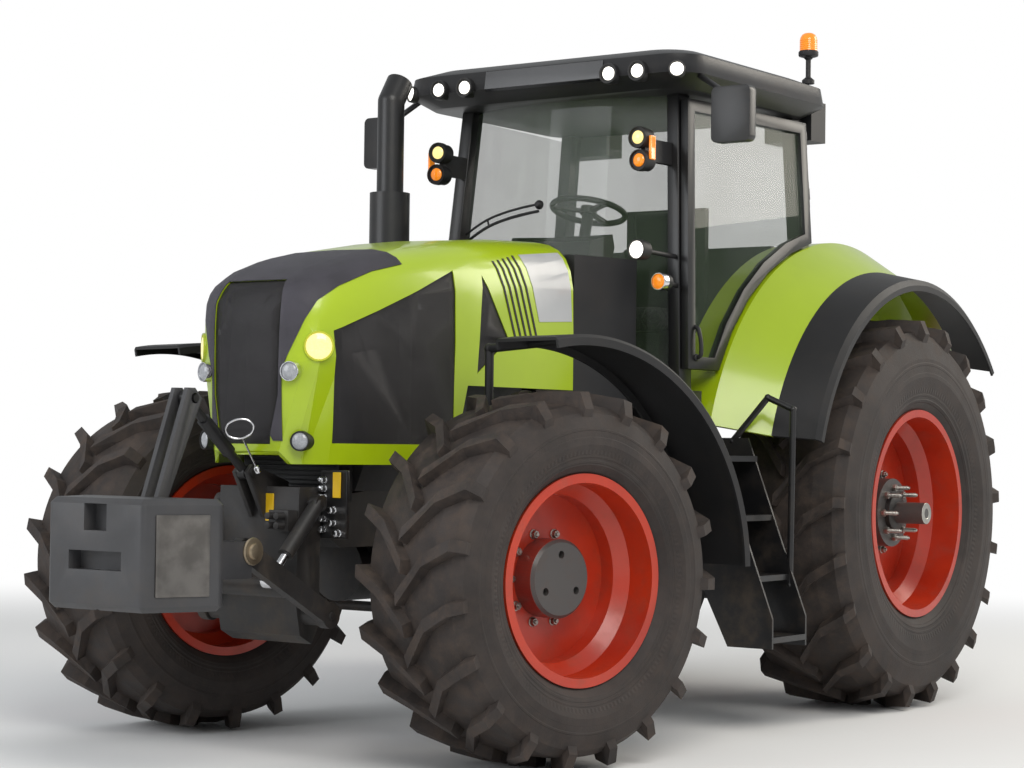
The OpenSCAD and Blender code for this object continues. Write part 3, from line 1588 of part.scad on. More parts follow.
module front_weight() {
    outer_x = front_arm_x + front_arm_t / 2 + lug_gap;
    inner_x = front_arm_x - front_arm_t / 2 - lug_gap - weight_lug_t;
    height = weight_z1 - weight_z0;
    color(cast_grey) difference() {
        union() {
            translate([0, 0, weight_z0]) hull() {
                translate([0, 0, weight_bevel]) linear_extrude(height - 2 * weight_bevel) weight_outline(0);
                linear_extrude(height) weight_outline(weight_bevel);
            }
            both_sides() {
                cross_extrude(mast_gap, mast_gap + mast_t)
                    polygon([[weight_y1 - mast_base_y, weight_z1 - 2 * weight_bevel],
                        [weight_y1, weight_z1 - 2 * weight_bevel],
                        mast_p + [mast_eye_r, 0], mast_p + [0, mast_eye_r], mast_p
                            + [-mast_eye_r, mast_eye_r]]);
                for (x = [inner_x, outer_x]) {
                    cross_pin(x, x + weight_lug_t, hook_p.x, hook_p.y, weight_lug_r);
                    translate([x, weight_y1 - over, hook_p.y - weight_lug_h])
                        cube([weight_lug_t, hook_p.x - weight_y1 + over, weight_lug_h + weight_lug_r]);
                }
                cross_pin(inner_x, outer_x + weight_lug_t, hook_p.x, hook_p.y, front_pin_r);
            }
        }
        for (i = [0:1])
            let (q = slot_shares[i], w = 2 * weight_front_x * slot_width_shares[i])
            translate([-w / 2, weight_y0 - over, mix(weight_z0, weight_z1, q[0])])
                cube([w, slot_d + over, (q[1] - q[0]) * height]);
        translate([0, weight_y0 + slot_d / 2, weight_z0 - over])
            cylinder(r = tow_bore_r, h = mix(0, weight_z1 - weight_z0, slot_shares[0][0]) + 2 * over);
        cross_pin(-mast_gap - mast_t - over, mast_gap + mast_t + over, mast_p.x, mast_p.y, mast_hole_r);
    }
}

top_link_r = 21;
top_eye_r = 32;
top_eye_t = 40;
top_body_r = 30;
top_body_shares = [0.28, 0.72];
mast_pin_r = 16;

module cross_point_bar(p, q, x, r) {
    bar([x, p.x, p.y], [x, q.x, q.y], r);
}

module front_top_link() {
    color(paint_black) difference() {
        union() {
            cross_point_bar(top_p, mast_p, 0, top_link_r);
            cross_point_bar(mix(top_p, mast_p, top_body_shares[0]),
                mix(top_p, mast_p, top_body_shares[1]), 0, top_body_r);
            for (q = [top_p, mast_p]) cross_pin(-top_eye_t / 2, top_eye_t / 2, q.x, q.y, top_eye_r);
            cross_pin(-mast_gap - mast_t - pin_end, mast_gap + mast_t + pin_end, mast_p.x, mast_p.y,
                mast_pin_r);
        }
        cross_pin(-top_eye_t, top_eye_t, top_p.x, top_p.y, front_pin_r + seat_gap);
    }
}

module front_lift_barrels() {
    v = (ram_low_p - ram_top_p) / norm(ram_low_p - ram_top_p);
    color(paint_black) both_sides() difference() {
        union() {
            cross_pin(ram_x - ram_t / 2, ram_x + ram_t / 2, ram_top_p.x, ram_top_p.y, ram_eye_r);
            cross_point_bar(ram_top_p, ram_top_p + ram_l * v, ram_x, ram_r);
        }
        cross_pin(ram_x - ram_t, ram_x + ram_t, ram_top_p.x, ram_top_p.y, front_pin_r + seat_gap);
        cross_point_bar(ram_top_p + 2 * ram_eye_r * v, ram_top_p + 2 * ram_l * v, ram_x, ram_rod_r
            + seat_gap);
    }
}

module front_lift_rods() {
    v = (ram_low_p - ram_top_p) / norm(ram_low_p - ram_top_p);
    color(steel) both_sides() union() {
        cross_pin(ram_x - ram_t / 2, ram_x + ram_t / 2, ram_low_p.x, ram_low_p.y, ram_eye_r);
        cross_point_bar(ram_top_p + 3 * ram_eye_r * v, ram_low_p, ram_x, ram_rod_r);
    }
}

// Rear linkage: the lift arms stay parallel to the lower links

ball_p = [rear_axle_y + tail_reach - ball_eye_r, link_ball_z];
rod_share = 0.46;
rod_low_p = mix(link_p, ball_p, rod_share);
rod_top_p = lift_p + rod_low_p - link_p;
rod_x = 298;
rod_t = 32;
rod_r = 20;
rod_end_share = 0.042;
rod_eye = 42;
rod_pin_r = 16;
lift_arm_x = 358;
lift_arm_t = 44;
lift_arm_r = 62;
link_eye_r = 46;
link_bar_h = 76;
bar_end_share = 0.036;

// Flat bar between two points, t wide and h deep
module flat_bar(p, q, t, h) {
    v = q - p;
    l = norm(v);
    translate(p)
        rotate([0, acos(v.z / l), atan2(v.y, v.x)]) translate([-h / 2, -t / 2, 0]) cube([h, t, l]);
}

module lower_links() {
    low_x = mix(link_x, link_ball_x, rod_share);
    front = [link_x, link_p.x, link_p.y];
    rear = [link_ball_x, ball_p.x, ball_p.y];
    color(cast_black) both_sides() difference() {
        union() {
            flat_bar(mix(front, rear, bar_end_share), mix(rear, front, bar_end_share), link_t, link_bar_h);
            cross_pin(link_x - link_t / 2, link_x + link_t / 2, link_p.x, link_p.y, link_eye_r);
            cross_pin(link_ball_x - link_t / 2, link_ball_x + link_t / 2, ball_p.x, ball_p.y, ball_eye_r);
            cross_pin(rod_x - rod_t / 2 - pin_end, low_x, rod_low_p.x, rod_low_p.y, rod_pin_r);
        }
        cross_pin(link_x - 2 * link_t, link_x + 2 * link_t, link_p.x, link_p.y, link_pin_r + seat_gap);
        cross_pin(link_ball_x - 2 * link_t, link_ball_x + 2 * link_t, ball_p.x, ball_p.y, ball_bore_r);
    }
}

module lift_arms() {
    color(cast_black) union() {
        cross_pin(-lift_arm_x, lift_arm_x, lift_p.x, lift_p.y, lift_shaft_r);
        both_sides() {
            flat_link(lift_p, rod_top_p, lift_arm_r, rod_eye, lift_arm_x, lift_arm_t);
            cross_pin(rod_x - rod_t / 2 - pin_end, lift_arm_x, rod_top_p.x, rod_top_p.y, rod_pin_r);
        }
    }
}

module lift_rods() {
    color(paint_black) both_sides() difference() {
        union() {
            for (q = [rod_low_p, rod_top_p]) cross_pin(rod_x - rod_t / 2, rod_x + rod_t / 2, q.x, q.y,
                rod_eye);
            cross_point_bar(mix(rod_low_p, rod_top_p, rod_end_share),
                mix(rod_top_p, rod_low_p, rod_end_share), rod_x, rod_r);
        }
        for (q = [rod_low_p, rod_top_p]) cross_pin(rod_x - rod_t, rod_x + rod_t, q.x, q.y, rod_pin_r
            + seat_gap);
    }
}

stow_x = 130;
stow_z = 1130;
stow_l = 560;
stow_out = 60;
stow_r = 26;
stow_eye_r = 38;

module top_link() {
    top = [stow_x, housing_end_y + stow_out, stow_z];
    low = [stow_x, housing_end_y + stow_out, stow_z - stow_l];
    color(cast_black) union() {
        translate([stow_x - stow_eye_r, housing_end_y, stow_z - stow_eye_r])
            cube([2 * stow_eye_r, stow_out, 2 * stow_eye_r]);
        bar(low, top, stow_r);
        for (q = [low, top]) cross_pin(stow_x - stow_eye_r, stow_x + stow_eye_r, q.y, q.z, stow_eye_r);
    }
}

drawbar_x = 60;
drawbar_t = 44;
drawbar_back = 90;
drawbar_y0 = link_p.x + drawbar_back;
drawbar_l = 360;
drawbar_seat = 150;
drawbar_pin_r = 16.5;
jaw_x = 90;
jaw_z = 880;
jaw_h = 140;
jaw_d = 120;
jaw_gap = 60;
jaw_pin_r = 17;

module trailer_hitch() {
    jaw_y = housing_end_y + jaw_d - jaw_x / 2;
    color(cast_black) union() {
        difference() {
            translate([-drawbar_x, drawbar_y0, gearbox_z0 - drawbar_t])
                cube([2 * drawbar_x, drawbar_l, drawbar_t]);
            translate([0, drawbar_y0 + drawbar_l - drawbar_x, gearbox_z0 - 2 * drawbar_t])
                cylinder(r = drawbar_pin_r, h = 3 * drawbar_t);
        }
        difference() {
            translate([-drawbar_x, drawbar_y0, gearbox_z0 - drawbar_t / 2])
                cube([2 * drawbar_x, housing_end_y - drawbar_y0, drawbar_seat]);
            gearbox_form();
        }
        difference() {
            translate([-jaw_x, housing_end_y, jaw_z]) cube([2 * jaw_x, jaw_d, jaw_h]);
            translate([-jaw_x - over, housing_end_y + jaw_gap / 2, jaw_z + (jaw_h - jaw_gap) / 2])
                cube([2 * (jaw_x + over), jaw_d, jaw_gap]);
        }
        translate([0, jaw_y, jaw_z + jaw_pin_r]) cylinder(r = jaw_pin_r, h = jaw_h);
    }
}

front_frame();
engine_block();
gearbox();
rear_axle();
front_axle();
fuel_tank();
tool_box();
steps();
exhaust();
cowl();
cab_floor();
front_pillars();
rear_pillars();
roof();
windscreen();
rear_window();
side_window();
door_frame();
door_glass();
dashboard();
steering_wheel();
seat_base();
seat();
rear_fenders();
fender_flares();
work_lamps();
rear_lamps();
mirrors();
beacon();
bonnet();
bonnet_grilles();
bonnet_lamps();
knuckle_left();
knuckle_right();
tie_rod();
mudguard_left();
mudguard_right();
tyre_front_left();
tyre_front_right();
tyre_rear_left();
tyre_rear_right();
rim_front_left();
rim_front_right();
rim_rear_left();
rim_rear_right();
front_linkage_frame();
front_links();
front_weight();
front_top_link();
front_lift_barrels();
front_lift_rods();
lower_links();
lift_arms();
lift_rods();
top_link();
trailer_hitch();
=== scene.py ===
import json
import math

import bpy
from mathutils import Matrix, Vector
from mathutils.bvhtree import BVHTree


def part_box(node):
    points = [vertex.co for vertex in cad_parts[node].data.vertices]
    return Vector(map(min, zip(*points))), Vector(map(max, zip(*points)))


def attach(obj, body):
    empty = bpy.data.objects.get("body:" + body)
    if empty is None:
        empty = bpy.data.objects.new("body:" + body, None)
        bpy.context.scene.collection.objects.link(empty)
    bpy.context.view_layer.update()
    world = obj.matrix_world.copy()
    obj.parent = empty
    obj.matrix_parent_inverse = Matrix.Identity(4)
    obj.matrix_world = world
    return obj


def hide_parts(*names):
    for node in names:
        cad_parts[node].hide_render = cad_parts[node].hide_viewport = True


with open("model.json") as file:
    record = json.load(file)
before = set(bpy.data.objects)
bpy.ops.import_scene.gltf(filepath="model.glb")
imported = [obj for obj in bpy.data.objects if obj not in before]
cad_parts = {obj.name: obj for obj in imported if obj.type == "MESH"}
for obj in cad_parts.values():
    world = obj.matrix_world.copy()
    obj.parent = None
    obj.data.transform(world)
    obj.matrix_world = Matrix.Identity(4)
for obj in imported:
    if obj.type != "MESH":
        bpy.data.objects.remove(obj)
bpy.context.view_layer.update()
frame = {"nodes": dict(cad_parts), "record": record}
nodes = frame["nodes"]

# where the photograph was taken from, in the tractor's frame
photoCamera = {
    "at": (6.731, -9.687, 1.4025),
    "right": (0.81239, 0.58296, 0.01354),
    "up": (0.00279, -0.02710, 0.99963),
    "lens": 81.0,
    "shift": (0.0194, 0.0045),
}


def addToScene(obj):
    bpy.context.scene.collection.objects.link(obj)


def setCamera(view):
    right = Vector(view["right"]).normalized()
    back = right.cross(Vector(view["up"])).normalized()
    up = back.cross(right)
    data = bpy.data.cameras.new("photoCamera")
    data.sensor_width = 36
    data.lens = view["lens"]
    data.shift_x, data.shift_y = view["shift"]
    data.clip_end = 200
    camera = bpy.data.objects.new("photoCamera", data)
    camera.matrix_world = Matrix.Translation(view["at"]) @ Matrix((right, up, back)).transposed().to_4x4()
    addToScene(camera)
    bpy.context.scene.camera = camera


setCamera(photoCamera)
bpy.context.scene.view_settings.view_transform = "Standard"
print("camera set")


# shader maths: an expression on values adds its Math nodes
class Val:
    def __init__(self, finish, out):
        self.finish = finish
        self.out = out

    def __add__(self, other):
        return self.finish.maths("ADD", self, other)

    def __sub__(self, other):
        return self.finish.maths("SUBTRACT", self, other)

    def __rsub__(self, other):
        return self.finish.maths("SUBTRACT", other, self)

    def __mul__(self, other):
        return self.finish.maths("MULTIPLY", self, other)

    def __truediv__(self, other):
        return self.finish.maths("DIVIDE", self, other)

    __radd__ = __add__
    __rmul__ = __mul__


class Finish:
    def __init__(self, name, **constants):
        self.material = bpy.data.materials.new(name)
        self.material.use_nodes = True
        tree = self.material.node_tree
        tree.nodes.clear()
        self.tree = tree
        self.end = tree.nodes.new("ShaderNodeOutputMaterial")
        self.shader = tree.nodes.new("ShaderNodeBsdfPrincipled")
        tree.links.new(self.shader.outputs[0], self.end.inputs[0])
        self.set(self.shader, constants)
        self.place = self.node("TexCoord", out="Object")
        self.x, self.y, self.z = (self.node("SeparateXYZ", None, {0: self.place}, out=i) for i in range(3))

    def set(self, node, sockets):
        for key, value in sockets.items():
            socket = node.inputs[key.replace("_", " ") if isinstance(key, str) else key]
            if isinstance(value, Val):
                self.tree.links.new(value.out, socket)
            else:
                socket.default_value = value

    # any node: its type, its settings, then the values or links of its sockets
    def node(self, kind, settings=None, sockets=None, out=0):
        made = self.tree.nodes.new("ShaderNode" + kind)
        for key, value in (settings or {}).items():
            setattr(made, key, value)
        self.set(made, sockets or {})
        return Val(self, made.outputs[out])

    def maths(self, operation, a, b=0.0):
        return self.node("Math", {"operation": operation}, {0: a, 1: b})

    def mixed(self, mask, a, b):
        a, b = ((*c, 1.0) if isinstance(c, tuple) and len(c) == 3 else c for c in (a, b))
        return self.node("Mix", {"data_type": "RGBA"}, {0: mask, 6: a, 7: b}, out=2)

    def noise(self, scale, detail=3.0, rough=0.55, stretch=(1, 1, 1)):
        spot = self.node("Mapping", None, {"Vector": self.place, "Scale": stretch})
        sockets = {"Vector": spot, "Scale": scale, "Detail": detail, "Roughness": rough}
        return self.node("TexNoise", None, sockets)

    # 0 to 1 between two values, eased
    def spread(self, value, low, high):
        return self.node("MapRange", {"interpolation_type": "SMOOTHSTEP"}, {0: value, 1: low, 2: high})

    # 1 inside a band about a value
    def band(self, value, middle, half, edge):
        off = self.maths("ABSOLUTE", value - middle)
        return self.spread(off, half + edge, half)

    def bumped(self, height, strength, distance):
        return self.node("Bump", None, {"Height": height, "Strength": strength, "Distance": distance})

    def done(self, **sockets):
        self.set(self.shader, sockets)
        return self.material


dustBrown = (0.16, 0.115, 0.075)


def shaded(tone, share):
    return tuple(min(1.0, c * share) for c in tone)


# gloss paint over sheet: clouded tone, fine orange peel, dust that gathers low down
def paintFinish(name, bright, dark, rough=0.3, coat=0.45, dust=0.25, dustTop=1.5, peel=0.05):
    f = Finish(name, Coat_Weight=coat, Coat_Roughness=0.12)
    cloud = f.noise(1.3, 4)
    speck = f.noise(38, 5, 0.7)
    low = f.spread(f.z, dustTop, 0.35)
    grime = f.spread(f.noise(5.5, 6, 0.68), 0.42, 0.74) * (low * 0.85 + 0.15)
    tone = f.mixed(f.spread(cloud, 0.3, 0.7), dark, bright)
    tone = f.mixed(grime * dust, tone, dustBrown)
    return f.done(
        Base_Color=tone,
        Roughness=rough + grime * 0.3 + speck * 0.06,
        Normal=f.bumped(f.noise(210, 2), peel, 0.0006),
    )


# moulded plastic with a fine grain
def plasticFinish(name, bright, dark, rough=0.46, grain=420, dust=0.2, dustTop=1.4):
    f = Finish(name, Specular_IOR_Level=0.45)
    cloud = f.noise(2.1, 4)
    pits = f.noise(grain, 3, 0.6)
    grime = f.spread(f.noise(6.5, 6, 0.7), 0.45, 0.76) * (f.spread(f.z, dustTop, 0.3) * 0.8 + 0.2)
    tone = f.mixed(f.spread(cloud, 0.3, 0.7), dark, bright)
    tone = f.mixed(grime * dust, tone, dustBrown)
    return f.done(
        Base_Color=tone,
        Roughness=rough + pits * 0.12 + grime * 0.2,
        Normal=f.bumped(pits, 0.18, 0.0008),
    )


# paint over rough castings, with chips along the worn spots
def castFinish(name, bright, dark, rough=0.42, dust=0.35, dustTop=1.3, lumps=55):
    f = Finish(name)
    cloud = f.noise(2.6, 5, 0.6)
    skin = f.noise(lumps, 4, 0.62)
    chips = f.spread(f.noise(24, 6, 0.75), 0.7, 0.76)
    grime = f.spread(f.noise(6, 6, 0.7), 0.42, 0.75) * (f.spread(f.z, dustTop, 0.25) * 0.75 + 0.25)
    tone = f.mixed(f.spread(cloud, 0.3, 0.7), dark, bright)
    tone = f.mixed(chips * 0.35, tone, (0.19, 0.18, 0.17))
    tone = f.mixed(grime * dust, tone, dustBrown)
    return f.done(
        Base_Color=tone,
        Metallic=chips * 0.3,
        Roughness=rough + skin * 0.16 + grime * 0.22,
        Normal=f.bumped(skin, 0.32, 0.0018),
    )


# bare or plated steel, with faint turning marks
def steelFinish(name, bright, dark, rough=0.24, stretch=(1, 30, 30)):
    f = Finish(name, Metallic=1.0)
    lines = f.noise(22, 3, 0.6, stretch)
    cloud = f.noise(9, 4)
    return f.done(
        Base_Color=f.mixed(f.spread(cloud, 0.32, 0.68), dark, bright),
        Roughness=rough + lines * 0.14 + cloud * 0.06,
        Normal=f.bumped(lines, 0.06, 0.0004),
    )


# offsets from a wheel's centre, and the distance from its axle
def fromAxle(f, centre, axis):
    dx, dy, dz = f.x - centre[0], f.y - centre[1], f.z - centre[2]
    along = dx * axis[0] + dy * axis[1]
    return dx, dy, dz, f.maths("SQRT", dx * dx + dy * dy + dz * dz - along * along)


# rubber: dusty lugs, dark sidewall with moulded rings and fine radial ribs
def tyreFinish(name, centre, axis, rimR, outerR):
    f = Finish(name, Specular_IOR_Level=0.35)
    dx, dy, dz, r = fromAxle(f, centre, axis)
    share = (r - rimR) / (outerR - rimR)
    turn = f.maths("ARCTAN2", dz, dy * axis[0] - dx * axis[1])
    rings = f.band(share, 0.10, 0.012, 0.01) + f.band(share, 0.16, 0.008, 0.008)
    rings = rings + f.band(share, 0.50, 0.010, 0.01) + f.band(share, 0.30, 0.1, 0.01) * 0.25
    ribs = f.maths("SINE", turn * 150) * f.band(share, 0.22, 0.022, 0.006)
    cloud = f.noise(3.2, 5, 0.65)
    skin = f.noise(120, 4, 0.65)
    worn = f.spread(share, 0.55, 0.95)
    dust = f.spread(f.noise(11, 6, 0.72), 0.36, 0.78) * (worn * 0.65 + 0.35)
    tone = f.mixed(f.spread(cloud, 0.3, 0.7), (0.021, 0.017, 0.016), (0.042, 0.034, 0.031))
    tone = f.mixed(dust * 0.45, tone, (0.13, 0.092, 0.07))
    height = rings + ribs * 0.3 + skin * 0.35
    return f.done(
        Base_Color=tone,
        Roughness=0.56 + dust * 0.3 + skin * 0.1,
        Normal=f.bumped(height, 0.55, 0.006),
    )


# pressed wheel: enamel over its disc, and the bare hub in the middle in its own paint
def rimFinish(name, centre, axis, hubR, bright, dark, hubTone):
    f = Finish(name, Coat_Weight=0.3, Coat_Roughness=0.2)
    r = fromAxle(f, centre, axis)[3]
    hub = f.spread(r, hubR + 0.004, hubR)
    cloud = f.noise(2.4, 4)
    skin = f.noise(90, 3)
    grime = f.spread(f.noise(8, 6, 0.72), 0.45, 0.78)
    tone = f.mixed(f.spread(cloud, 0.3, 0.7), dark, bright)
    tone = f.mixed(hub, tone, hubTone)
    tone = f.mixed(grime * 0.3, tone, (0.12, 0.07, 0.045))
    return f.done(
        Base_Color=tone,
        Roughness=0.34 + grime * 0.28 + hub * 0.14,
        Normal=f.bumped(skin, 0.1, 0.001),
    )


# tinted cab glass with a dust film low down
def glassFinish(name, tint, alpha):
    f = Finish(name, Roughness=0.02, IOR=1.5, Specular_IOR_Level=0.6)
    film = f.spread(f.noise(3.5, 6, 0.7), 0.45, 0.8) * f.spread(f.z, 2.6, 1.7)
    return f.done(
        Base_Color=f.mixed(film, tint, (0.16, 0.165, 0.145)),
        Alpha=alpha + film * 0.06,
    )


# woven wire or punched sheet: holes in rows, drawn finer than the cut slots, painted near-black as the shade
# inside the openings
def meshFinish(name, tone, pitch, axes, clear=0.0):
    f = Finish(name, Specular_IOR_Level=0.4)
    a, b = (sum(({"x": f.x, "y": f.y, "z": f.z}[k] for k in word), 0.0) for word in axes)
    rate = 2 * math.pi / pitch
    wave = f.maths("SINE", a * rate) * f.maths("SINE", b * rate)
    holeAndShade = f.spread(wave, 0.0, 0.55)
    cloud = f.noise(4, 5, 0.65)
    base = f.mixed(f.spread(cloud, 0.3, 0.7), shaded(tone, 0.6), tone)
    if clear:
        f.done(Alpha=1 - holeAndShade * clear)
    return f.done(
        # painted shade: the holes take a near-black colour for the dark seen through them
        Base_Color=f.mixed(holeAndShade, base, (0.003, 0.003, 0.003)),
        Roughness=0.42 + holeAndShade * 0.4 + cloud * 0.1,
        Normal=f.bumped(1 - holeAndShade, 0.6, 0.002),
    )


# lit lens with fine prisms in its cover
def lensFinish(name, glow, tone, strength):
    f = Finish(name, Emission_Strength=strength, Roughness=0.08, Coat_Weight=0.6)
    prism = f.noise(160, 1)
    return f.done(
        Base_Color=f.mixed(f.spread(prism, 0.35, 0.65), tone, shaded(tone, 1.2)),
        Emission_Color=f.mixed(f.spread(prism, 0.3, 0.7), shaded(glow, 0.8), glow),
    )


# upholstery: two-way weave with a few paler threads
def clothFinish(name, tone, thread):
    f = Finish(name, Sheen_Weight=0.25, Specular_IOR_Level=0.25)
    pick = 2 * math.pi / thread
    weave = f.maths("SINE", f.x * pick) * f.maths("SINE", (f.y + f.z) * pick)
    fleck = f.spread(f.noise(260, 2), 0.55, 0.75)
    base = f.mixed(fleck, tone, shaded(tone, 2.4))
    return f.done(
        Base_Color=f.mixed(f.spread(weave, -0.8, 0.8), shaded(tone, 0.55), base),
        Roughness=0.86 + fleck * 0.08,
        Normal=f.bumped(weave, 0.5, 0.0012),
    )


lime = paintFinish("limePaint", (0.41, 0.56, 0.006), (0.36, 0.5, 0.005), rough=0.26, coat=0.6, dust=0.2)
matBlack = plasticFinish("blackPlastic", (0.017, 0.0165, 0.018), (0.010, 0.010, 0.011))
roofBlack = plasticFinish("roofShell", (0.018, 0.0175, 0.019), (0.011, 0.011, 0.012), rough=0.34)
enamel = {"rough": 0.34, "coat": 0.1, "dust": 0.3}
blackPaint = paintFinish("blackEnamel", (0.012, 0.012, 0.013), (0.007, 0.007, 0.008), **enamel)
castBlack = castFinish("castBlack", (0.026, 0.024, 0.024), (0.012, 0.011, 0.011))
engineGrey = castFinish("engineCasting", (0.05, 0.05, 0.052), (0.025, 0.025, 0.026), lumps=80)
ballastSkin = {"rough": 0.34, "dust": 0.18, "lumps": 34}
ballastGrey = castFinish("ballastGrey", (0.052, 0.052, 0.056), (0.038, 0.038, 0.041), **ballastSkin)
chrome = steelFinish("rodChrome", (0.78, 0.78, 0.8), (0.6, 0.6, 0.62), rough=0.1)
cabGlass = glassFinish("cabGlass", (0.05, 0.08, 0.04), 0.22)
sideGrille = meshFinish("sideMesh", (0.03, 0.028, 0.031), 0.005, ("xy", "z"), 0.75)
whiteLamp = lensFinish("whiteLens", (1.0, 0.95, 0.85), (0.8, 0.8, 0.78), 2.2)
redLamp = lensFinish("redLens", (0.5, 0.01, 0.01), (0.45, 0.01, 0.01), 0.15)
amberLamp = lensFinish("amberLens", (1.0, 0.3, 0.02), (0.75, 0.2, 0.01), 0.5)
seatCloth = clothFinish("seatCloth", (0.03, 0.03, 0.034), 0.006)
warmLamp = lensFinish("warmLens", (1.0, 0.8, 0.3), (0.5, 0.42, 0.16), 1.05)
clearLamp = lensFinish("clearLens", (0.5, 0.52, 0.55), (0.26, 0.27, 0.29), 0.12)
topMesh = meshFinish("topMesh", (0.085, 0.08, 0.1), 0.005, ("x", "yz"))
limeRing = paintFinish("lampRim", (0.5, 0.56, 0.02), (0.42, 0.5, 0.012), rough=0.22, coat=0.6, dust=0.1)
boltSteel = steelFinish("boltSteel", (0.5, 0.48, 0.44), (0.3, 0.29, 0.27), rough=0.28)
wornSteel = steelFinish("wornSteel", (0.2, 0.188, 0.176), (0.13, 0.122, 0.114), rough=0.3)
mirrorSilver = steelFinish("mirrorSilver", (0.85, 0.86, 0.87), (0.8, 0.81, 0.82), rough=0.01)
yellowTag = paintFinish("yellowTag", (0.8, 0.5, 0.01), (0.7, 0.42, 0.008), rough=0.35, coat=0.2, dust=0.2)
bronze = steelFinish("bronzePlate", (0.46, 0.38, 0.27), (0.3, 0.24, 0.17), rough=0.32)
gloss = {"rough": 0.2, "coat": 0.3, "dust": 0.05}
glossBlack = paintFinish("glossBlack", (0.012, 0.012, 0.014), (0.008, 0.008, 0.009), **gloss)
hoseBlue = plasticFinish("blueHose", (0.01, 0.05, 0.09), (0.006, 0.03, 0.055))
silverPlate = paintFinish("silverPlate", (0.52, 0.53, 0.54), (0.4, 0.41, 0.42), rough=0.3, coat=0.4, dust=0.1)


def dress(material, *names):
    for name in names:
        data = nodes[name].data
        data.materials.clear()
        data.materials.append(material)


# wheels, as the photograph has them: the front pair turned to the driver's right
wheels = {
    "front": {"rimR": 0.475, "outerR": 0.82, "hubR": 0.17, "axis": (0.97815, -0.20791)},
    "rear": {"rimR": 0.56, "outerR": 1.054, "hubR": 0.21, "axis": (1.0, 0.0)},
}
rimTones = ((0.5, 0.035, 0.008), (0.4, 0.022, 0.006), (0.06, 0.055, 0.053))
for end, wheel in wheels.items():
    for side in ("left", "right"):
        key = end + "_" + side
        low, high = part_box("tyre_" + key)
        centre = [(low[i] + high[i]) / 2 for i in range(3)]
        wheel[side] = centre
        tyre = tyreFinish("tyre_" + key, centre, wheel["axis"], wheel["rimR"], wheel["outerR"])
        rim = rimFinish("rim_" + key, centre, wheel["axis"], wheel["hubR"], *rimTones)
        dress(tyre, "tyre_" + key)
        dress(rim, "rim_" + key)

dress(lime, "bonnet", "rear_fenders")
dress(matBlack, "seat_base", "fender_flares", "mudguard_left", "mudguard_right", "cowl", "dashboard")
dress(matBlack, "fuel_tank", "tool_box", "bonnet_lamps", "work_lamps")
dress(roofBlack, "roof")
dress(blackPaint, "front_pillars", "rear_pillars", "door_frame", "mirrors", "steps", "exhaust")
dress(blackPaint, "cab_floor", "steering_wheel", "front_top_link")
dress(castBlack, "front_frame", "gearbox", "rear_axle", "front_axle", "knuckle_left", "knuckle_right")
dress(castBlack, "tie_rod", "front_links", "front_linkage_frame", "front_lift_barrels", "lower_links")
dress(castBlack, "lift_arms", "lift_rods", "top_link", "trailer_hitch")
dress(engineGrey, "engine_block")
dress(ballastGrey, "front_weight")
dress(chrome, "front_lift_rods")
dress(cabGlass, "windscreen", "rear_window", "side_window", "door_glass")
dress(sideGrille, "bonnet_grilles")
dress(redLamp, "rear_lamps")
dress(amberLamp, "beacon")
dress(seatCloth, "seat")
print("nodes dressed")

# vertices of a node's loose triangles closer than this are one
mergeGap = 0.0002


# modelling by hand: the small steps that the pieces share
def pickNone():
    bpy.ops.object.select_all(action="DESELECT")


def pickAll():
    bpy.ops.mesh.select_all(action="SELECT")


def alone(obj):
    pickNone()
    obj.select_set(True)
    bpy.context.view_layer.objects.active = obj


def edit(obj):
    alone(obj)
    bpy.ops.object.mode_set(mode="EDIT")
    bpy.ops.mesh.select_mode(type="FACE")
    pickAll()


def leave():
    bpy.ops.object.mode_set(mode="OBJECT")


# choose faces by a rule on their middle and normal
def pick(obj, rule):
    bpy.ops.mesh.select_all(action="DESELECT")
    leave()
    for face in obj.data.polygons:
        face.select = bool(rule(face.center, face.normal))
    bpy.ops.object.mode_set(mode="EDIT")


def worked(obj, kind, **settings):
    alone(obj)
    step = obj.modifiers.new(kind.lower(), kind)
    for key, value in settings.items():
        setattr(step, key, value)
    bpy.ops.object.modifier_apply(modifier=step.name)


# rounds the edges that are sharper than an angle in degrees
def eased(obj, width, segments, angle):
    limit = math.radians(angle)
    worked(obj, "BEVEL", width=width, segments=segments, limit_method="ANGLE", angle_limit=limit)


def settle(obj, name, finish, body, smooth=35):
    alone(obj)
    bpy.ops.object.transform_apply(location=True, rotation=True, scale=True)
    obj.name = obj.data.name = name
    obj.data.materials.clear()
    obj.data.materials.append(finish)
    bpy.ops.object.shade_smooth_by_angle(angle=math.radians(smooth))
    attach(obj, body)
    return obj


# a merged copy of a node's mesh, left in edit mode
def copied(node, name):
    obj = bpy.data.objects.new(name, nodes[node].data.copy())
    addToScene(obj)
    edit(obj)
    bpy.ops.mesh.remove_doubles(threshold=mergeGap)
    return obj


def twin(obj):
    made = obj.copy()
    made.data = obj.data.copy()
    addToScene(made)
    return made


def gathered(parts):
    pickNone()
    for part in parts:
        part.select_set(True)
    bpy.context.view_layer.objects.active = parts[0]
    if len(parts) > 1:
        bpy.ops.object.join()
    return bpy.context.view_layer.objects.active


# a turned part: a disc drawn out ring by ring along its axis
def turned(profile, sides=32):
    pickNone()
    r, z = profile[0]
    bpy.ops.mesh.primitive_circle_add(vertices=sides, radius=r, fill_type="NGON", location=(0, 0, z))
    obj = bpy.context.object
    bpy.ops.object.transform_apply(location=True)
    edit(obj)
    for nextR, nextZ in profile[1:]:
        bpy.ops.mesh.extrude_region_move(TRANSFORM_OT_translate={"value": (0, 0, nextZ - z)})
        bpy.ops.transform.resize(value=(nextR / r, nextR / r, 1), center_override=(0, 0, nextZ))
        r, z = nextR, nextZ
    pickAll()
    bpy.ops.mesh.normals_make_consistent(inside=False)
    leave()
    return obj


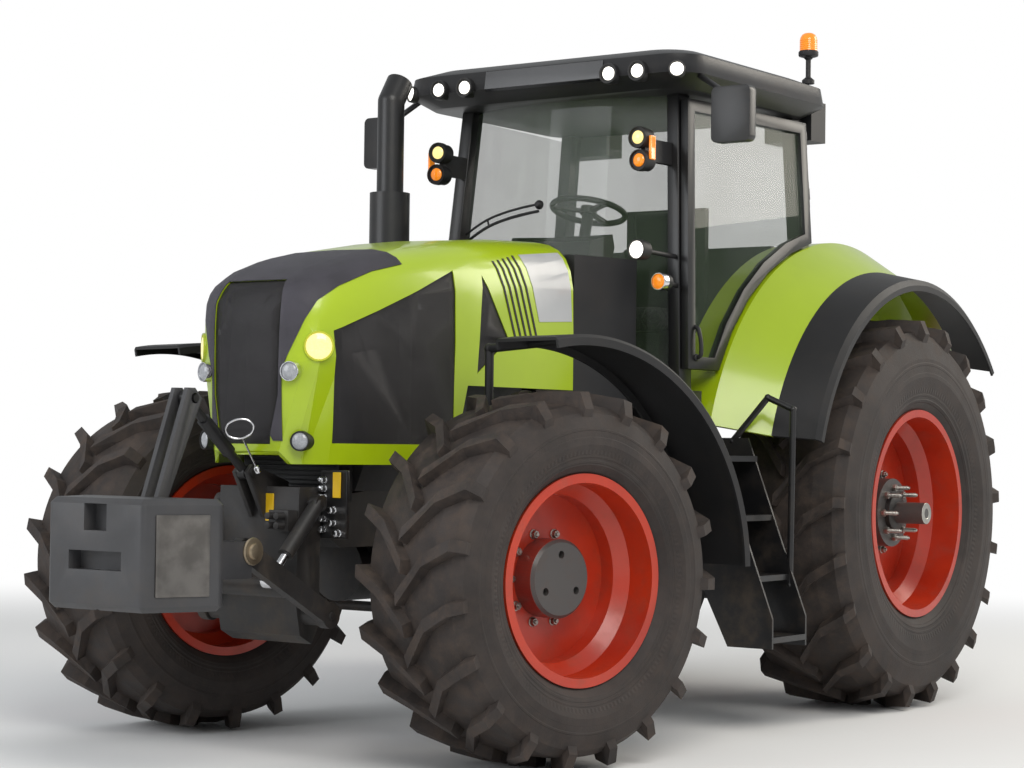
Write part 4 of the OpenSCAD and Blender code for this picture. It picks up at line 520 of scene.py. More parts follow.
# a housing or pad: a block with its edges rounded, and one side set in
def housing(size, middle, edge=0.006, segments=2, inset=0.0, depth=0.0, side=(0, -1, 0), turn=None):
    pickNone()
    bpy.ops.mesh.primitive_cube_add(size=1, location=(0, 0, 0))
    obj = bpy.context.object
    obj.scale = size
    bpy.ops.object.transform_apply(scale=True)
    edit(obj)
    if inset:
        pick(obj, lambda c, n: n.dot(Vector(side)) > 0.9)
        bpy.ops.mesh.inset(thickness=inset, depth=-depth)
    leave()
    eased(obj, edge, segments, 40)
    obj.matrix_world = Matrix.Translation(middle) @ (turn or Matrix.Identity(4))
    return obj


# a bent rod or pipe through its points
def rod(points, radius, bends=True, closed=False):
    data = bpy.data.curves.new("run", "CURVE")
    data.dimensions = "3D"
    data.bevel_depth = radius
    data.bevel_resolution = 3
    data.resolution_u = 6
    data.use_fill_caps = True
    line = data.splines.new("BEZIER" if bends else "POLY")
    marks = line.bezier_points if bends else line.points
    marks.add(len(points) - 1)
    for mark, point in zip(marks, points):
        if bends:
            mark.co = point
            mark.handle_left_type = mark.handle_right_type = "AUTO"
        else:
            mark.co = (*point, 1)
    line.use_cyclic_u = closed
    obj = bpy.data.objects.new("run", data)
    addToScene(obj)
    alone(obj)
    bpy.ops.object.convert(target="MESH")
    return bpy.context.object


# turns a part's own z axis to face along a direction, at a place
def faced(obj, place, along, roll=0.0):
    aim = Vector(along).to_track_quat("Z", "Y").to_matrix().to_4x4()
    obj.matrix_world = Matrix.Translation(place) @ aim @ Matrix.Rotation(roll, 4, "Z")
    return obj


# a sheet along a node's outer skin: cut by planes, kept by place, lifted and thickened
def skinSheet(node, cuts, inside, lift, thick):
    sheet = copied(node, "sheet")
    for place, across in cuts:
        pickAll()
        bpy.ops.mesh.bisect(plane_co=place, plane_no=across)
    pick(sheet, lambda c, n: not inside(c, n))
    bpy.ops.mesh.delete(type="FACE")
    pickAll()
    bpy.ops.transform.shrink_fatten(value=lift)
    leave()
    worked(sheet, "SOLIDIFY", thickness=thick, offset=1.0)
    return sheet


bothSides = (("Left", 1), ("Right", -1))


def mirrored(place):
    return (-place[0], place[1], place[2])


print("tools ready")

# dark mesh over the nose and the front of the bonnet's top
noseCap = {
    "rearY": -1.57, "footZ": 1.40, "kneeZ": 1.706, "kneeX": 0.2, "splay": 0.395,
    "mostBack": 0.05, "mostDown": -0.2, "mostIn": -0.02, "lift": 0.001, "thick": 0.004,
}


def makeNoseCap(s):
    tilt = s["splay"]
    cuts = [((0, s["rearY"], 0), (0, 1, 0))]
    cuts += [((0, 0, s[key]), (0, 0, 1)) for key in ("footZ", "kneeZ")]
    for side in (1, -1):
        cuts.append(((side * s["kneeX"], 0, s["kneeZ"]), (side, 0, -tilt)))
        cuts.append(((side * s["kneeX"], 0, 0), (1, 0, 0)))

    def inside(c, n):
        if c.y > s["rearY"] or c.z < s["footZ"]:
            return False
        if n.y > s["mostBack"] or n.z < s["mostDown"] or n.x * c.x < s["mostIn"]:
            return False
        reach = s["kneeX"] + max(0.0, c.z - s["kneeZ"]) * tilt
        return abs(c.x) < reach

    sheet = skinSheet("bonnet", cuts, inside, s["lift"], s["thick"])
    settle(sheet, "noseMesh", topMesh, "bonnet")


makeNoseCap(noseCap)

# raised black stripes as painted shade of the louvre slits, and the bare silver plate behind them, on both
# sides of the bonnet
sideTrim = {
    "first": ((-0.939, 2.253), (-0.806, 1.899)),
    "last": ((-0.770, 2.291), (-0.636, 1.914)),
    "count": 5, "width": 0.013,
    "plate": ((-0.714, 2.30), (-0.352, 2.338), (-0.336, 2.0), (-0.611, 1.985)),
    "leastX": 0.3, "leastOut": 0.3, "lift": 0.0006, "thick": 0.003, "plateShare": 0.7,
}


# planes through the edges of a side outline, given as (y, z) corners in order
def sideCuts(outline):
    cuts = []
    for (y0, z0), (y1, z1) in zip(outline, outline[1:] + outline[:1]):
        cuts.append(((0, y0, z0), (0, z1 - z0, y0 - y1)))
    return cuts


def withinSide(outline, c):
    turns = []
    for (y0, z0), (y1, z1) in zip(outline, outline[1:] + outline[:1]):
        turns.append((y1 - y0) * (c.z - z0) - (z1 - z0) * (c.y - y0))
    return all(t > 0 for t in turns) or all(t < 0 for t in turns)


# a sheet within an outline on one side of the bonnet
def sideSheet(outline, side, thick, s):
    def inside(c, n):
        return c.x * side > s["leastX"] and n.x * side > s["leastOut"] and withinSide(outline, c)

    return skinSheet("bonnet", sideCuts(outline), inside, s["lift"], thick)


def makeSideTrim(s):
    stripes = []
    for i in range(s["count"]):
        t = i / (s["count"] - 1)
        top, foot = (tuple(a + (b - a) * t for a, b in zip(s["first"][k], s["last"][k])) for k in (0, 1))
        w = s["width"] / 2
        corners = ((top, -w), (top, w), (foot, w), (foot, -w))
        stripes.append([(end[0] + off, end[1]) for end, off in corners])
    plate = list(s["plate"])
    for word, side in bothSides:
        # painted shade: dark strips stand where the louvre slits open into shadow
        lines = [sideSheet(stripe, side, s["thick"], s) for stripe in stripes]
        settle(gathered(lines), "slitShadeStrips" + word, matBlack, "bonnet")
        sheet = sideSheet(plate, side, s["thick"] * s["plateShare"], s)
        settle(sheet, "sidePlate" + word, silverPlate, "bonnet")


makeSideTrim(sideTrim)
print("bonnet trim made")

# smooth skins with eased edges for the solids that show most: a merged copy stands for each
skins = {
    "round": ("bonnet",),
    "eased": (
        "front_weight", "roof", "door_frame", "front_pillars", "rear_pillars", "mirrors",
        "fuel_tank", "tool_box", "front_linkage_frame",
    ),
    "edge": 0.005, "angle": 32, "flat": 1.5,
}
bodies = frame["record"]["behaviour"]["bodies"]
bodyOf = {node: body for body, members in bodies.items() for node in members}


def makeSkin(node, edge, s):
    skin = copied(node, "skin")
    if edge:
        bpy.ops.mesh.dissolve_limited(angle_limit=math.radians(s["flat"]))
    leave()
    if edge:
        eased(skin, edge, 2, s["angle"])
    settle(skin, node + "Skin", nodes[node].data.materials[0], bodyOf[node], s["angle"])
    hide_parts(node)


for node in skins["round"]:
    makeSkin(node, 0.0, skins)
for node in skins["eased"]:
    makeSkin(node, skins["edge"], skins)
print("skins made")

# lamp faces: a ring, and a lens in it, at each lamp of the solids
# the profiles are shares of the radius and of the depth
lampFaces = {
    "ring": ((1.1, -1.4), (1.1, 0.5), (1.067, 1), (0.97, 1), (0.93, 0.35), (0.3, 0.2)),
    "lens": ((1, 0.2), (1, 0.6), (0.82, 0.95), (0.5, 1.2), (0.13, 1.3)),
    "depth": 0.016, "sides": 28, "cabCorner": (0.785, 0.20996, 1.68), "cabTurn": 4.0,
}
lampRings = {
    "lime": (limeRing, "green_paint"),
    "chrome": (chrome, "rod_chrome"),
    "black": (matBlack, "black_plastic"),
}
lampLenses = {
    "warm": (warmLamp, "lamp"),
    "clear": (clearLamp, "lamp"),
    "white": (whiteLamp, "lamp"),
    "amber": (amberLamp, "amber_lens"),
}


# a place in the leaning frame of the cab's side, and the way forward there
def cabSide(x, y, z):
    turn = math.radians(-lampFaces["cabTurn"])
    corner = Matrix.Translation(lampFaces["cabCorner"])
    frameOf = corner @ Matrix.Rotation(turn, 4, "Z") @ Matrix.Rotation(turn, 4, "Y")
    return tuple(frameOf @ Vector((x, y, z))), tuple(frameOf.to_3x3() @ Vector((0, -1, 0)))


def yawed(degrees):
    return (math.sin(math.radians(degrees)), -math.cos(math.radians(degrees)), 0)


def makeLamp(name, at, r, ringKey, lensKey, share=0.92, both=True, body="chassis"):
    s = lampFaces
    d, lensR = s["depth"], r * share
    ring = turned([(r * a, d * b) for a, b in s["ring"]], s["sides"])
    lens = turned([(lensR * a, d * b) for a, b in s["lens"]], s["sides"])
    pair = ((ring, "Ring", *lampRings[ringKey]), (lens, "Lens", *lampLenses[lensKey]))
    for word in ("Left", "Right")[: 2 if both else 1]:
        place, along = at if word == "Left" else (mirrored(at[0]), mirrored(at[1]))
        for pattern, kind, finish, slot in pair:
            settle(faced(twin(pattern), place, along), name + kind + word, finish, body)
    for pattern in (ring, lens):
        bpy.data.objects.remove(pattern)


# place and facing, radius, ring, lens, and where they differ: lens share, both sides, body
lampSpots = {
    "headlamp": (((0.330, -2.058, 1.8105), yawed(42)), 0.062, "lime", "warm", 0.92, True, "bonnet"),
    "noseLamp": (((0.246, -2.146, 1.700), yawed(16)), 0.040, "chrome", "clear", 0.92, True, "bonnet"),
    "fogLamp": (((0.272, -2.1025, 1.400), yawed(22)), 0.040, "black", "clear", 0.92, True, "bonnet"),
    "roofLamp1": (((0.45, 0.033, 3.27), (0, -1, 0)), 0.048, "black", "white", 0.7),
    "roofLamp2": (((0.62, 0.033, 3.27), (0, -1, 0)), 0.048, "black", "white", 0.7),
    "roofCornerLamp": (((0.825, 0.071, 3.267), (0.46, -0.87, 0.12)), 0.04, "black", "white", 0.85),
    "pillarLampHigh": (cabSide(-0.060, -0.180, 1.265), 0.050, "black", "warm", 0.66),
    "pillarLampLow": (cabSide(-0.060, -0.180, 1.150), 0.050, "black", "amber", 0.66),
    "lowLamp": (cabSide(0.018, -0.340, 0.680), 0.046, "black", "white", 0.92, False),
    "turnLamp": (cabSide(0.036, -0.190, 0.530), 0.040, "chrome", "amber", 0.92, False),
}
for name, spot in lampSpots.items():
    makeLamp(name, *spot)
print("lamp faces made")


# fine screens over the bonnet's openings: each slotted grille's own hull, so that its slots close
def makeScreens():
    copied("bonnet_grilles", "screen")
    bpy.ops.mesh.separate(type="LOOSE")
    leave()
    parts = list(bpy.context.selected_objects)
    for part in parts:
        edit(part)
        bpy.ops.mesh.convex_hull()
        leave()
    sheet = settle(gathered(parts), "grilleScreens", sideGrille, "bonnet", smooth=30)
    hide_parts("bonnet_grilles")


makeScreens()
print("grille screens made")

# radiator, and the pipes that show through the side screens
radiator = {
    "core": (0.56, 0.10, 0.86), "middle": (0, -1.80, 1.565), "edge": 0.008, "rim": 0.03, "dish": 0.015,
    "slat": (0.50, 0.014, 0.005), "slatZ": 1.17, "slatIn": 0.012, "slatEdge": 0.0015,
    "pitch": 0.02, "count": 40,
    "pipes": (((0.34, -1.60, 1.36), (0.34, -1.60, 1.93)), ((0.345, -1.47, 1.36), (0.345, -1.47, 1.98))),
    "pipeR": (0.02, 0.034), "innerX": 0.27, "bend": 0.03,
}


def makeRadiator(s):
    core = housing(s["core"], s["middle"], s["edge"], 2, s["rim"], s["dish"])
    slatY = s["middle"][1] - s["core"][1] / 2 + s["slatIn"]
    slat = housing(s["slat"], (0, slatY, s["slatZ"]), s["slatEdge"], 1)
    step = {"use_constant_offset": True, "constant_offset_displace": (0, 0, s["pitch"])}
    worked(slat, "ARRAY", count=s["count"], use_relative_offset=False, **step)
    settle(gathered([core, slat]), "radiator", matBlack, "chassis")
    for word, sign in bothSides:
        for i, (ends, r) in enumerate(zip(s["pipes"], s["pipeR"])):
            low, high = ((sign * x, y, z) for x, y, z in ends)
            inner = sign * s["innerX"]
            bends = [(*low[:2], low[2] + s["bend"]), (*high[:2], high[2] - s["bend"])]
            pipe = rod([(inner, *low[1:]), *bends, (inner, *high[1:])], r, bends=False)
            name = "coolerPipe" + str(i + 1) + word
            settle(pipe, name, (hoseBlue, silverPlate)[i], "chassis")


makeRadiator(radiator)
print("radiator made")

# wheel studs and nuts: one of each, copied round its ring
wheelBolts = {
    "front": ({"count": 10, "ring": 0.199, "out": 0.014, "part": "nut"},),
    "rear": (
        {"count": 10, "ring": 0.217, "out": 0.054, "part": "nut"},
        {"count": 8, "ring": 0.135, "out": 0.150, "part": "stud"},
    ),
    "washer": ((0.022, 0), (0.022, 0.003), (0.020, 0.004), (0.012, 0.0045)),
    "nut": ((0.0185, 0.004), (0.0185, 0.018), (0.0165, 0.021), (0.010, 0.0212)),
    "boltEnd": ((0.0095, 0.02), (0.0095, 0.028), (0.008, 0.030), (0.004, 0.0302)),
    "studNut": ((0.021, 0), (0.021, 0.02), (0.019, 0.024), (0.012, 0.0242)),
    "thread": {"foot": (0.012, 0), "top": (0.007, 0.1), "start": 0.024, "pitch": 0.008, "turns": 9},
    "threadR": (0.0125, 0.0105),
    "collar": ((0.100, 0.150), (0.100, 0.176), (0.088, 0.184), (0.064, 0.186)),
    "tip": ((0.058, 0.3495), (0.056, 0.352), (0.030, 0.353), (0.026, 0.349), (0.010, 0.349)),
}


def makeNut(s):
    return gathered([turned(s["washer"], 20), turned(s["nut"], 6), turned(s["boltEnd"], 14)])


def makeStud(s):
    t = s["thread"]
    crest, root = s["threadR"]
    profile = [t["foot"]]
    for i in range(t["turns"]):
        z = t["start"] + i * t["pitch"]
        profile += [(crest, z), (root, z + t["pitch"] / 2)]
    thread = turned(profile + [t["top"]], 16)
    return gathered([turned(s["studNut"], 6), thread])


def ringOf(pattern, centre, outward, row):
    n = Vector(outward).normalized()
    side = n.cross(Vector((0, 0, 1))).normalized()
    made = []
    for i in range(row["count"]):
        a = 2 * math.pi * i / row["count"]
        rise = Vector((0, 0, row["ring"] * math.sin(a)))
        at = Vector(centre) + n * row["out"] + side * (row["ring"] * math.cos(a)) + rise
        made.append(faced(twin(pattern), at, n, a))
    return made


def makeWheelBolts(s):
    parts = {"nut": makeNut(s), "stud": makeStud(s)}
    for end in ("front", "rear"):
        axis = Vector((*wheels[end]["axis"], 0))
        for side, sign in (("left", 1), ("right", -1)):
            centre, outward = wheels[end][side], axis * sign
            made = []
            for row in s[end]:
                made += ringOf(parts[row["part"]], centre, outward, row)
            name, body = end.capitalize() + side.capitalize(), "wheel_" + end + "_" + side
            settle(gathered(made), "bolts" + name, boltSteel, body)
            if end == "rear":
                collar = faced(turned(s["collar"], 40), centre, outward)
                settle(collar, "axleCollar" + name, castBlack, body)
                tip = faced(turned(s["tip"], 32), centre, outward)
                settle(tip, "axleTip" + name, boltSteel, body)
    for part in parts.values():
        bpy.data.objects.remove(part)


makeWheelBolts(wheelBolts)
print("wheel bolts made")

# seat: cushion and back as stuffed covers over the solids, with sewn channels
seatPads = {
    "cushion": {"size": (0.484, 0.330, 0.088), "middle": (0, 1.024, 2.085), "up": (0, 0, 1)},
    "back": {"size": (0.484, 0.098, 0.660), "middle": (0, 1.270, 2.386), "up": (0, -1, 0)},
    "edge": 0.03, "edgeSteps": 4, "voxel": 0.006, "pressure": 4.0, "frames": 20, "most": 0.022,
    "channels": (-0.135, 0.135), "groove": 0.006, "grooveWide": 0.007, "facing": 0.3,
    "headZ": 2.54, "headBand": 0.05, "headShare": 0.66,
}


def makePad(name, pad, s):
    obj = housing(pad["size"], pad["middle"], s["edge"], s["edgeSteps"])
    alone(obj)
    bpy.ops.object.transform_apply(location=True, rotation=True, scale=True)
    if name == "seatBack":
        edit(obj)
        bpy.ops.mesh.bisect(plane_co=(0, 0, s["headZ"]), plane_no=(0, 0, 1))
        pickAll()
        bpy.ops.mesh.bisect(plane_co=(0, 0, s["headZ"] - s["headBand"]), plane_no=(0, 0, 1))
        pick(obj, lambda c, n: c.z > s["headZ"])
        middle = (0, pad["middle"][1], s["headZ"])
        bpy.ops.transform.resize(value=(s["headShare"], 1, 1), center_override=middle)
        leave()
    worked(obj, "REMESH", mode="VOXEL", voxel_size=s["voxel"])
    start = [v.co.copy() for v in obj.data.vertices]
    alone(obj)
    cloth = obj.modifiers.new("fill", "CLOTH")
    cloth.settings.use_pressure = True
    cloth.settings.uniform_pressure_force = s["pressure"]
    cloth.settings.effector_weights.gravity = 0.0
    for step in range(1, s["frames"] + 1):
        bpy.context.scene.frame_set(step)
    bpy.ops.object.modifier_apply(modifier="fill")
    bpy.context.scene.frame_set(1)
    for vertex, was in zip(obj.data.vertices, start):
        moved = vertex.co - was
        if moved.length > s["most"]:
            vertex.co = was + moved.normalized() * s["most"]
    worked(obj, "SUBSURF", levels=1, render_levels=1)
    # sewn channels run up the middle of the cover
    up = Vector(pad["up"])
    facing = [vertex.normal.dot(up) for vertex in obj.data.vertices]
    for vertex, toward in zip(obj.data.vertices, facing):
        if toward > s["facing"]:
            near = min(abs(vertex.co.x - c) for c in s["channels"])
            vertex.co -= up * (s["groove"] * math.exp(-(near / s["grooveWide"]) ** 2))
    settle(obj, name, seatCloth, "chassis", smooth=60)
    return obj


seatPieces = [makePad("seat" + key.capitalize(), seatPads[key], seatPads) for key in ("cushion", "back")]
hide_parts("seat")
print("seat covers made")

# beacon: ribbed amber dome on a rubber base and a straight pole
# the base and the dome are shares of the radius
beacon = {
    "at": (0.82, 1.455, 0), "foot": 3.38, "base": 3.53, "top": 3.659, "r": 0.054,
    "poleLow": ((0.034, 0), (0.034, 0.02), (0.016, 0.035), (0.014, 0.04)),
    "poleHigh": ((0.014, -0.02), (0.024, -0.01), (0.024, 0.004)),
    "seat": ((0.6, -0.006), (0.95, 0), (1, 0.006), (1, 0.024), (0.9, 0.03)),
    "domeFoot": (0.9, 0.028), "rib": ((0.9, 0.03), (0.86, 0.038)), "ribs": 6, "pitch": 0.011,
    "cap": ((0.82, -0.026), (0.66, -0.011), (0.4, -0.003), (0.12, 0)),
}


def makeBeacon(s):
    r, z0 = s["r"], s["base"]
    pole = [(a, s["foot"] + z) for a, z in s["poleLow"]] + [(a, z0 + z) for a, z in s["poleHigh"]]
    stand = [turned(pole, 24), turned([(r * a, z0 + z) for a, z in s["seat"]], 36)]
    dome = [(r * s["domeFoot"][0], z0 + s["domeFoot"][1])]
    for i in range(s["ribs"]):
        dome += [(r * a, z0 + z + i * s["pitch"]) for a, z in s["rib"]]
    dome += [(r * a, s["top"] + z) for a, z in s["cap"]]
    cap = turned(dome, 36)
    holder = gathered(stand)
    holder.location = cap.location = s["at"]
    settle(holder, "beaconStand", matBlack, "chassis")
    settle(cap, "beaconDome", amberLamp, "chassis")
    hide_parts("beacon")


makeBeacon(beacon)

# mirror glasses, set in the rear of each head
mirrorGlass = {
    "xs": (1.137, -1.040), "y": 0.1205, "z": 3.0225, "size": (0.185, 0.008, 0.240),
    "edge": 0.003, "rim": 0.010, "dish": 0.002,
}


def makeMirrors(s):
    for x, word in zip(s["xs"], ("Left", "Right")):
        glass = housing(s["size"], (x, s["y"], s["z"]), s["edge"], 2, s["rim"], s["dish"], (0, 1, 0))
        settle(glass, "mirrorGlass" + word, mirrorSilver, "chassis")


makeMirrors(mirrorGlass)
print("beacon and mirrors made")


# the place and facing where a straight line meets a node
def onNode(node, start, toward):
    data = nodes[node].data
    tree = BVHTree.FromPolygons([v.co for v in data.vertices], [p.vertices for p in data.polygons])
    place, normal = tree.ray_cast(Vector(start), Vector(toward))[:2]
    if place is None:
        print("no surface of", node, "at", start)
        return Vector(start), -Vector(toward)
    return place, normal.normalized()


# wiper on the windscreen: arm and blade side by side, and the arm's pivot
wiper = {
    "run": ((-0.638, 2.527), (-0.55, 2.560), (-0.45, 2.592), (-0.33, 2.618), (-0.20, 2.638), (-0.09, 2.651)),
    "fromY": -1.0, "gap": 0.034, "armOff": 0.022, "armR": 0.0065, "bladeOff": 0.010, "bladeR": 0.008,
    "pivot": ((0.024, 0), (0.024, 0.012), (0.019, 0.022), (0.013, 0.030), (0.008, 0.031)),
    "bridgeAt": 2, "bridgeShare": 0.8,
}


def makeWiper(s):
    def onGlass(x, z):
        return onNode("windscreen", (x, s["fromY"], z), (0, 1, 0))

    def line(drop, off):
        met = [onGlass(x, z - drop) for x, z in s["run"]]
        return [tuple(place + normal * off) for place, normal in met]

    runs = line(0.0, s["armOff"]), line(s["gap"], s["bladeOff"])
    parts = [rod(run, r) for run, r in zip(runs, (s["armR"], s["bladeR"]))]
    parts.append(faced(turned(s["pivot"], 24), *onGlass(*s["run"][-1])))
    bridge = [run[s["bridgeAt"]] for run in runs]
    parts.append(rod(bridge, s["armR"] * s["bridgeShare"], bends=False))
    settle(gathered(parts), "wiper", matBlack, "chassis")


makeWiper(wiper)

# pull handle on the door's front bar
doorHandle = {
    "low": (0.292, 1.845), "high": (0.302, 2.000), "fromX": 2.0, "off": 0.036, "r": 0.011, "sunk": 0.004,
    "bends": ((0.8, 0.008), (1, 0.03)),
    "foot": ((0.019, -0.002), (0.019, 0.006), (0.015, 0.011), (0.009, 0.012)),
}


def makeDoorHandle(s):
    ends = [onNode("door_frame", (s["fromX"], *s[k]), (-1, 0, 0)) for k in ("low", "high")]
    (p0, n0), (p1, n1) = ends
    out = n0 * s["off"]
    up = (p1 - p0).normalized()
    run = [p0 - n0 * s["sunk"]]
    run += [p0 + out * share + up * rise for share, rise in s["bends"]]
    run += [p1 + out * share - up * rise for share, rise in s["bends"][::-1]]
    run.append(p1 - n1 * s["sunk"])
    grip = rod([tuple(point) for point in run], s["r"])
    feet = [faced(turned(s["foot"], 20), p, n) for p, n in ends]
    settle(gathered([grip] + feet), "doorHandle", matBlack, "door")


makeDoorHandle(doorHandle)
print("wiper and door handle made")

# oil couplers in front and behind: one profile at each place and facing
couplerProfile = (
    (0.017, 0), (0.017, 0.006), (0.013, 0.008), (0.013, 0.020), (0.0155, 0.022), (0.0155, 0.034),
    (0.012, 0.037), (0.006, 0.038),
)


def couplersAt(name, spots):
    pattern = turned(couplerProfile, 20)
    made = [faced(twin(pattern), place, facing) for place, facing in spots]
    settle(gathered(made), name, chrome, "chassis")
    bpy.data.objects.remove(pattern)


# coupler panel and bare yellow plates by the front linkage
couplerPanel = {
    "size": (0.150, 0.022, 0.300), "middle": (0.298, -1.895, 1.125),
    "edge": 0.006, "rim": 0.010, "dish": 0.004,
    "couplers": (
        (0.245, 1.232), (0.245, 1.194), (0.245, 1.156), (0.245, 1.062), (0.245, 1.016),
        (0.300, 1.100), (0.300, 1.045), (0.330, 1.000),
    ),
}
blankTags = {
    "panel": {"size": (0.044, 0.006, 0.112), "middle": (0.318, -1.908, 1.210)},
    "frame": {"size": (0.046, 0.006, 0.120), "start": (0.065, -3.5, 1.110), "lift": 0.002},
    "edge": 0.002, "rim": 0.004, "dish": 0.001,
}


def makeCouplerPanel(s):
    panel = housing(s["size"], s["middle"], s["edge"], 2, s["rim"], s["dish"])
    settle(panel, "couplerPanel", blackPaint, "chassis")
    front = s["middle"][1] - s["size"][1] / 2 + s["dish"]
    couplersAt("frontCouplers", [((x, front, z), (0, -1, 0)) for x, z in s["couplers"]])


def makeTags(s):
    place, normal = onNode("front_linkage_frame", s["frame"]["start"], (0, 1, 0))
    middles = {"panel": s["panel"]["middle"], "frame": tuple(place + normal * s["frame"]["lift"])}
    tags = []
    for key, middle in middles.items():
        tags.append(housing(s[key]["size"], middle, s["edge"], 2, s["rim"], s["dish"]))
    settle(gathered(tags), "blankTags", yellowTag, "chassis")


makeCouplerPanel(couplerPanel)
makeTags(blankTags)

# wire pull loop over the linkage frame
pullLoop = {
    "foot": (0.085, -2.165, 1.272), "middle": (0.090, -2.290, 1.449),
    "wide": 0.060, "high": 0.042, "r": 0.0045,
    "across": (0.8, 0.6, 0.25), "up": (-0.1, -0.35, 0.93), "points": 10,
    "socket": ((0.014, -0.01), (0.014, 0.012), (0.010, 0.018), (0.006, 0.019)),
}


def makePullLoop(s):
    middle = Vector(s["middle"])
    across, up = Vector(s["across"]).normalized(), Vector(s["up"]).normalized()
    ring = []
    for i in range(s["points"]):
        a = 2 * math.pi * i / s["points"]
        ring.append(tuple(middle + across * (s["wide"] * math.cos(a)) + up * (s["high"] * math.sin(a))))
    hoop = rod(ring, s["r"], closed=True)
    stem = rod([s["foot"], tuple(middle - up * s["high"])], s["r"], bends=False)
    foot = faced(turned(s["socket"], 18), s["foot"], tuple(middle - Vector(s["foot"])))
    settle(gathered([hoop, stem, foot]), "pullLoop", chrome, "chassis")


makePullLoop(pullLoop)

# flanges on the ballast's pins, and dished plates on its slanted sides
ballastTrim = {
    "pinAt": (0.393, -2.54, 0.943),
    "flange": (
        (0.030, -0.004), (0.056, 0), (0.058, 0.006), (0.055, 0.013), (0.034, 0.014),
        (0.030, 0.024), (0.018, 0.026),
    ),
    "cheek": (0.016, 0.236, 0.330), "cheekAt": (0.333, -2.890, 0.9325), "turn": -22.9,
    "edge": 0.004, "rim": 0.020, "dish": 0.005,
}


def makeBallastTrim(s):
    pins, cheeks = [], []
    for side in (1, -1):
        x, y, z = s["pinAt"]
        pins.append(faced(turned(s["flange"], 32), (side * x, y, z), (side, 0, 0)))
        x, y, z = s["cheekAt"]
        aim = Matrix.Rotation(math.radians(side * s["turn"]), 4, "Z")
        middle = (side * x, y, z)
        cheeks.append(housing(s["cheek"], middle, s["edge"], 2, s["rim"], s["dish"], (side, 0, 0), aim))
    settle(gathered(pins), "hookFlanges", bronze, "ballast")
    settle(gathered(cheeks), "ballastCheeks", wornSteel, "ballast")


makeBallastTrim(ballastTrim)
print("front fittings made")

# gloss visor over the roof's front, between the lamps
visor = {
    "x": (-0.33, 0.40), "z": (3.245, 3.345), "rearY": 0.2, "mostBack": -0.5, "lift": 0.0008, "thick": 0.004,
}


def makeVisor(s):
    cuts = [((x, 0, 0), (1, 0, 0)) for x in s["x"]] + [((0, 0, z), (0, 0, 1)) for z in s["z"]]

    def inside(c, n):
        within = s["x"][0] < c.x < s["x"][1] and s["z"][0] < c.z < s["z"][1]
        return within and n.y < s["mostBack"] and c.y < s["rearY"]

    sheet = skinSheet("roof", cuts, inside, s["lift"], s["thick"])
    settle(sheet, "roofVisor", glossBlack, "chassis")


makeVisor(visor)

# rear work lamps in the pods
podLamps = {"y": 1.677, "z": 3.165, "xs": (0.595, 0.735), "r": 0.05}
for i, x in enumerate(podLamps["xs"]):
    at = (x, podLamps["y"], podLamps["z"]), (0, 1, 0)
    makeLamp("podLamp" + str(i + 1), at, podLamps["r"], "black", "clear")

# the pillars' small amber lamps
sideAmber = {
    "size": (0.016, 0.046, 0.120), "at": (0, -0.150, 1.208), "edge": 0.005, "rim": 0.006, "dish": 0.002,
}


def makeSideAmber(s):
    left = cabSide(*s["at"])[0]
    for (word, sign), middle in zip(bothSides, (left, mirrored(left))):
        block = housing(s["size"], middle, s["edge"], 2, s["rim"], s["dish"], (sign, 0, 0))
        settle(block, "pillarBlock" + word, amberLamp, "chassis")


makeSideAmber(sideAmber)
print("visor and lamps made")

# driver's arm rest: pad, stick, and a blank screen on a bent post
console = {
    "pad": {"size": (0.100, 0.330, 0.030), "middle": (-0.330, 1.090, 2.363), "edge": 0.012},
    "screen": {
        "size": (0.250, 0.032, 0.180), "middle": (-0.420, 0.640, 2.440), "lean": -18, "yaw": 24,
        "edge": 0.010, "rim": 0.014, "dish": 0.003,
    },
    "post": ((-0.330, 0.880, 2.310), (-0.340, 0.800, 2.320), (-0.395, 0.700, 2.360), (-0.420, 0.640, 2.410)),
    "postR": 0.014, "stickAt": (-0.330, 0.900, 2.345), "stickAlong": (0, -0.2, 0.98),
    "stick": (
        (0.020, 0), (0.018, 0.012), (0.011, 0.020), (0.010, 0.050), (0.021, 0.066), (0.024, 0.092),
        (0.019, 0.112), (0.008, 0.118),
    ),
}


def makeConsole(s):
    pad = housing(s["pad"]["size"], s["pad"]["middle"], s["pad"]["edge"], 4)
    settle(pad, "armPad", seatCloth, "chassis", smooth=60)
    stick = faced(turned(s["stick"], 24), s["stickAt"], s["stickAlong"])
    settle(stick, "driveStick", matBlack, "chassis")
    look = s["screen"]
    lean = Matrix.Rotation(math.radians(look["lean"]), 4, "X")
    turn = Matrix.Rotation(math.radians(look["yaw"]), 4, "Z") @ lean
    case = housing(look["size"], look["middle"], look["edge"], 3, look["rim"], look["dish"], (0, 1, 0), turn)
    post = rod(s["post"], s["postR"])
    settle(gathered([case, post]), "armScreen", glossBlack, "chassis")


makeConsole(console)

# rows of oil couplers on the rear housing
rearCouplers = {"xs": (-0.235, -0.185, 0.185, 0.235), "zs": (1.06, 1.13, 1.20), "fromY": 4.5}


def makeRearCouplers(s):
    spots = [onNode("gearbox", (x, s["fromY"], z), (0, -1, 0)) for x in s["xs"] for z in s["zs"]]
    couplersAt("rearCouplers", spots)


makeRearCouplers(rearCouplers)
print("console and couplers made")

# pale floor that goes to white before its edge, and soft lamps
studio = {"floorR": 16.0, "fadeFrom": 6.0, "fadeTo": 12.0, "middle": (0.0, -0.2), "world": 0.55}
lampAim = (0, -0.2, 1.5)


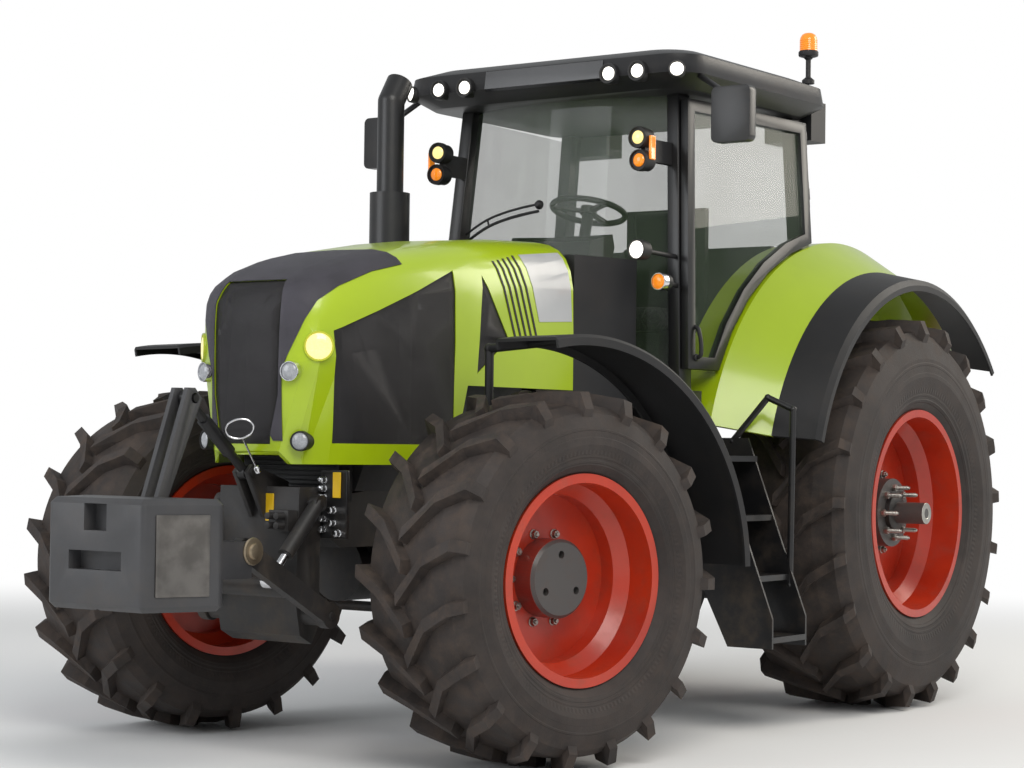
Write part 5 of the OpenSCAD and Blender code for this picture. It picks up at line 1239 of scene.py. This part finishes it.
def setStage(s):
    pickNone()
    spot = (*s["middle"], 0)
    bpy.ops.mesh.primitive_circle_add(vertices=96, radius=s["floorR"], fill_type="NGON", location=spot)
    floor = bpy.context.object
    bpy.ops.object.transform_apply(location=True)
    floor.name = "floor"
    f = Finish("paleFloor", Base_Color=(0.86, 0.86, 0.86, 1), Roughness=0.85)
    dx, dy = f.x - s["middle"][0], f.y - s["middle"][1]
    far = f.spread(f.maths("SQRT", dx * dx + dy * dy), s["fadeFrom"], s["fadeTo"])
    white = f.node("Emission", None, {"Color": (1, 1, 1, 1), "Strength": 1.0})
    mixed = f.node("MixShader", None, {0: far, 1: Val(f, f.shader.outputs[0]), 2: white})
    f.tree.links.new(mixed.out, f.end.inputs[0])
    floor.data.materials.append(f.material)
    world = bpy.data.worlds.new("studio")
    bpy.context.scene.world = world
    world.use_nodes = True
    tree = world.node_tree
    tree.nodes.clear()
    kinds = ("OutputWorld", "LightPath", "Math", "Background", "Background", "MixShader")
    end, path, seen, shown, light, mix = (tree.nodes.new("ShaderNode" + kind) for kind in kinds)
    seen.operation = "MAXIMUM"
    tree.links.new(path.outputs["Is Camera Ray"], seen.inputs[0])
    tree.links.new(path.outputs["Is Transmission Ray"], seen.inputs[1])
    shown.inputs[1].default_value = 1.0
    shown.inputs[0].default_value = (1, 1, 1, 1)
    light.inputs[0].default_value = (0.95, 0.98, 1.0, 1)
    light.inputs[1].default_value = s["world"]
    tree.links.new(seen.outputs[0], mix.inputs[0])
    tree.links.new(light.outputs[0], mix.inputs[1])
    tree.links.new(shown.outputs[0], mix.inputs[2])
    tree.links.new(mix.outputs[0], end.inputs[0])


lamps = {
    "key": {"at": (7.0, -6.5, 8.5), "power": 620, "size": 6.0, "tint": (1.0, 0.97, 0.92)},
    "front": {"at": (-4.5, -10.0, 5.0), "power": 330, "size": 6.0, "tint": (0.95, 0.97, 1.0)},
    "back": {"at": (5.5, 8.0, 6.5), "power": 420, "size": 5.0, "tint": (1.0, 0.93, 0.82)},
}


def setLamps(rows):
    for name, lamp in rows.items():
        data = bpy.data.lights.new(name, "AREA")
        data.energy, data.size, data.color = lamp["power"], lamp["size"], lamp["tint"]
        light = bpy.data.objects.new(name, data)
        aim = Vector(lampAim) - Vector(lamp["at"])
        turn = aim.to_track_quat("-Z", "Y").to_matrix().to_4x4()
        light.matrix_world = Matrix.Translation(lamp["at"]) @ turn
        addToScene(light)


setStage(studio)
setLamps(lamps)
print("stage and lamps set")
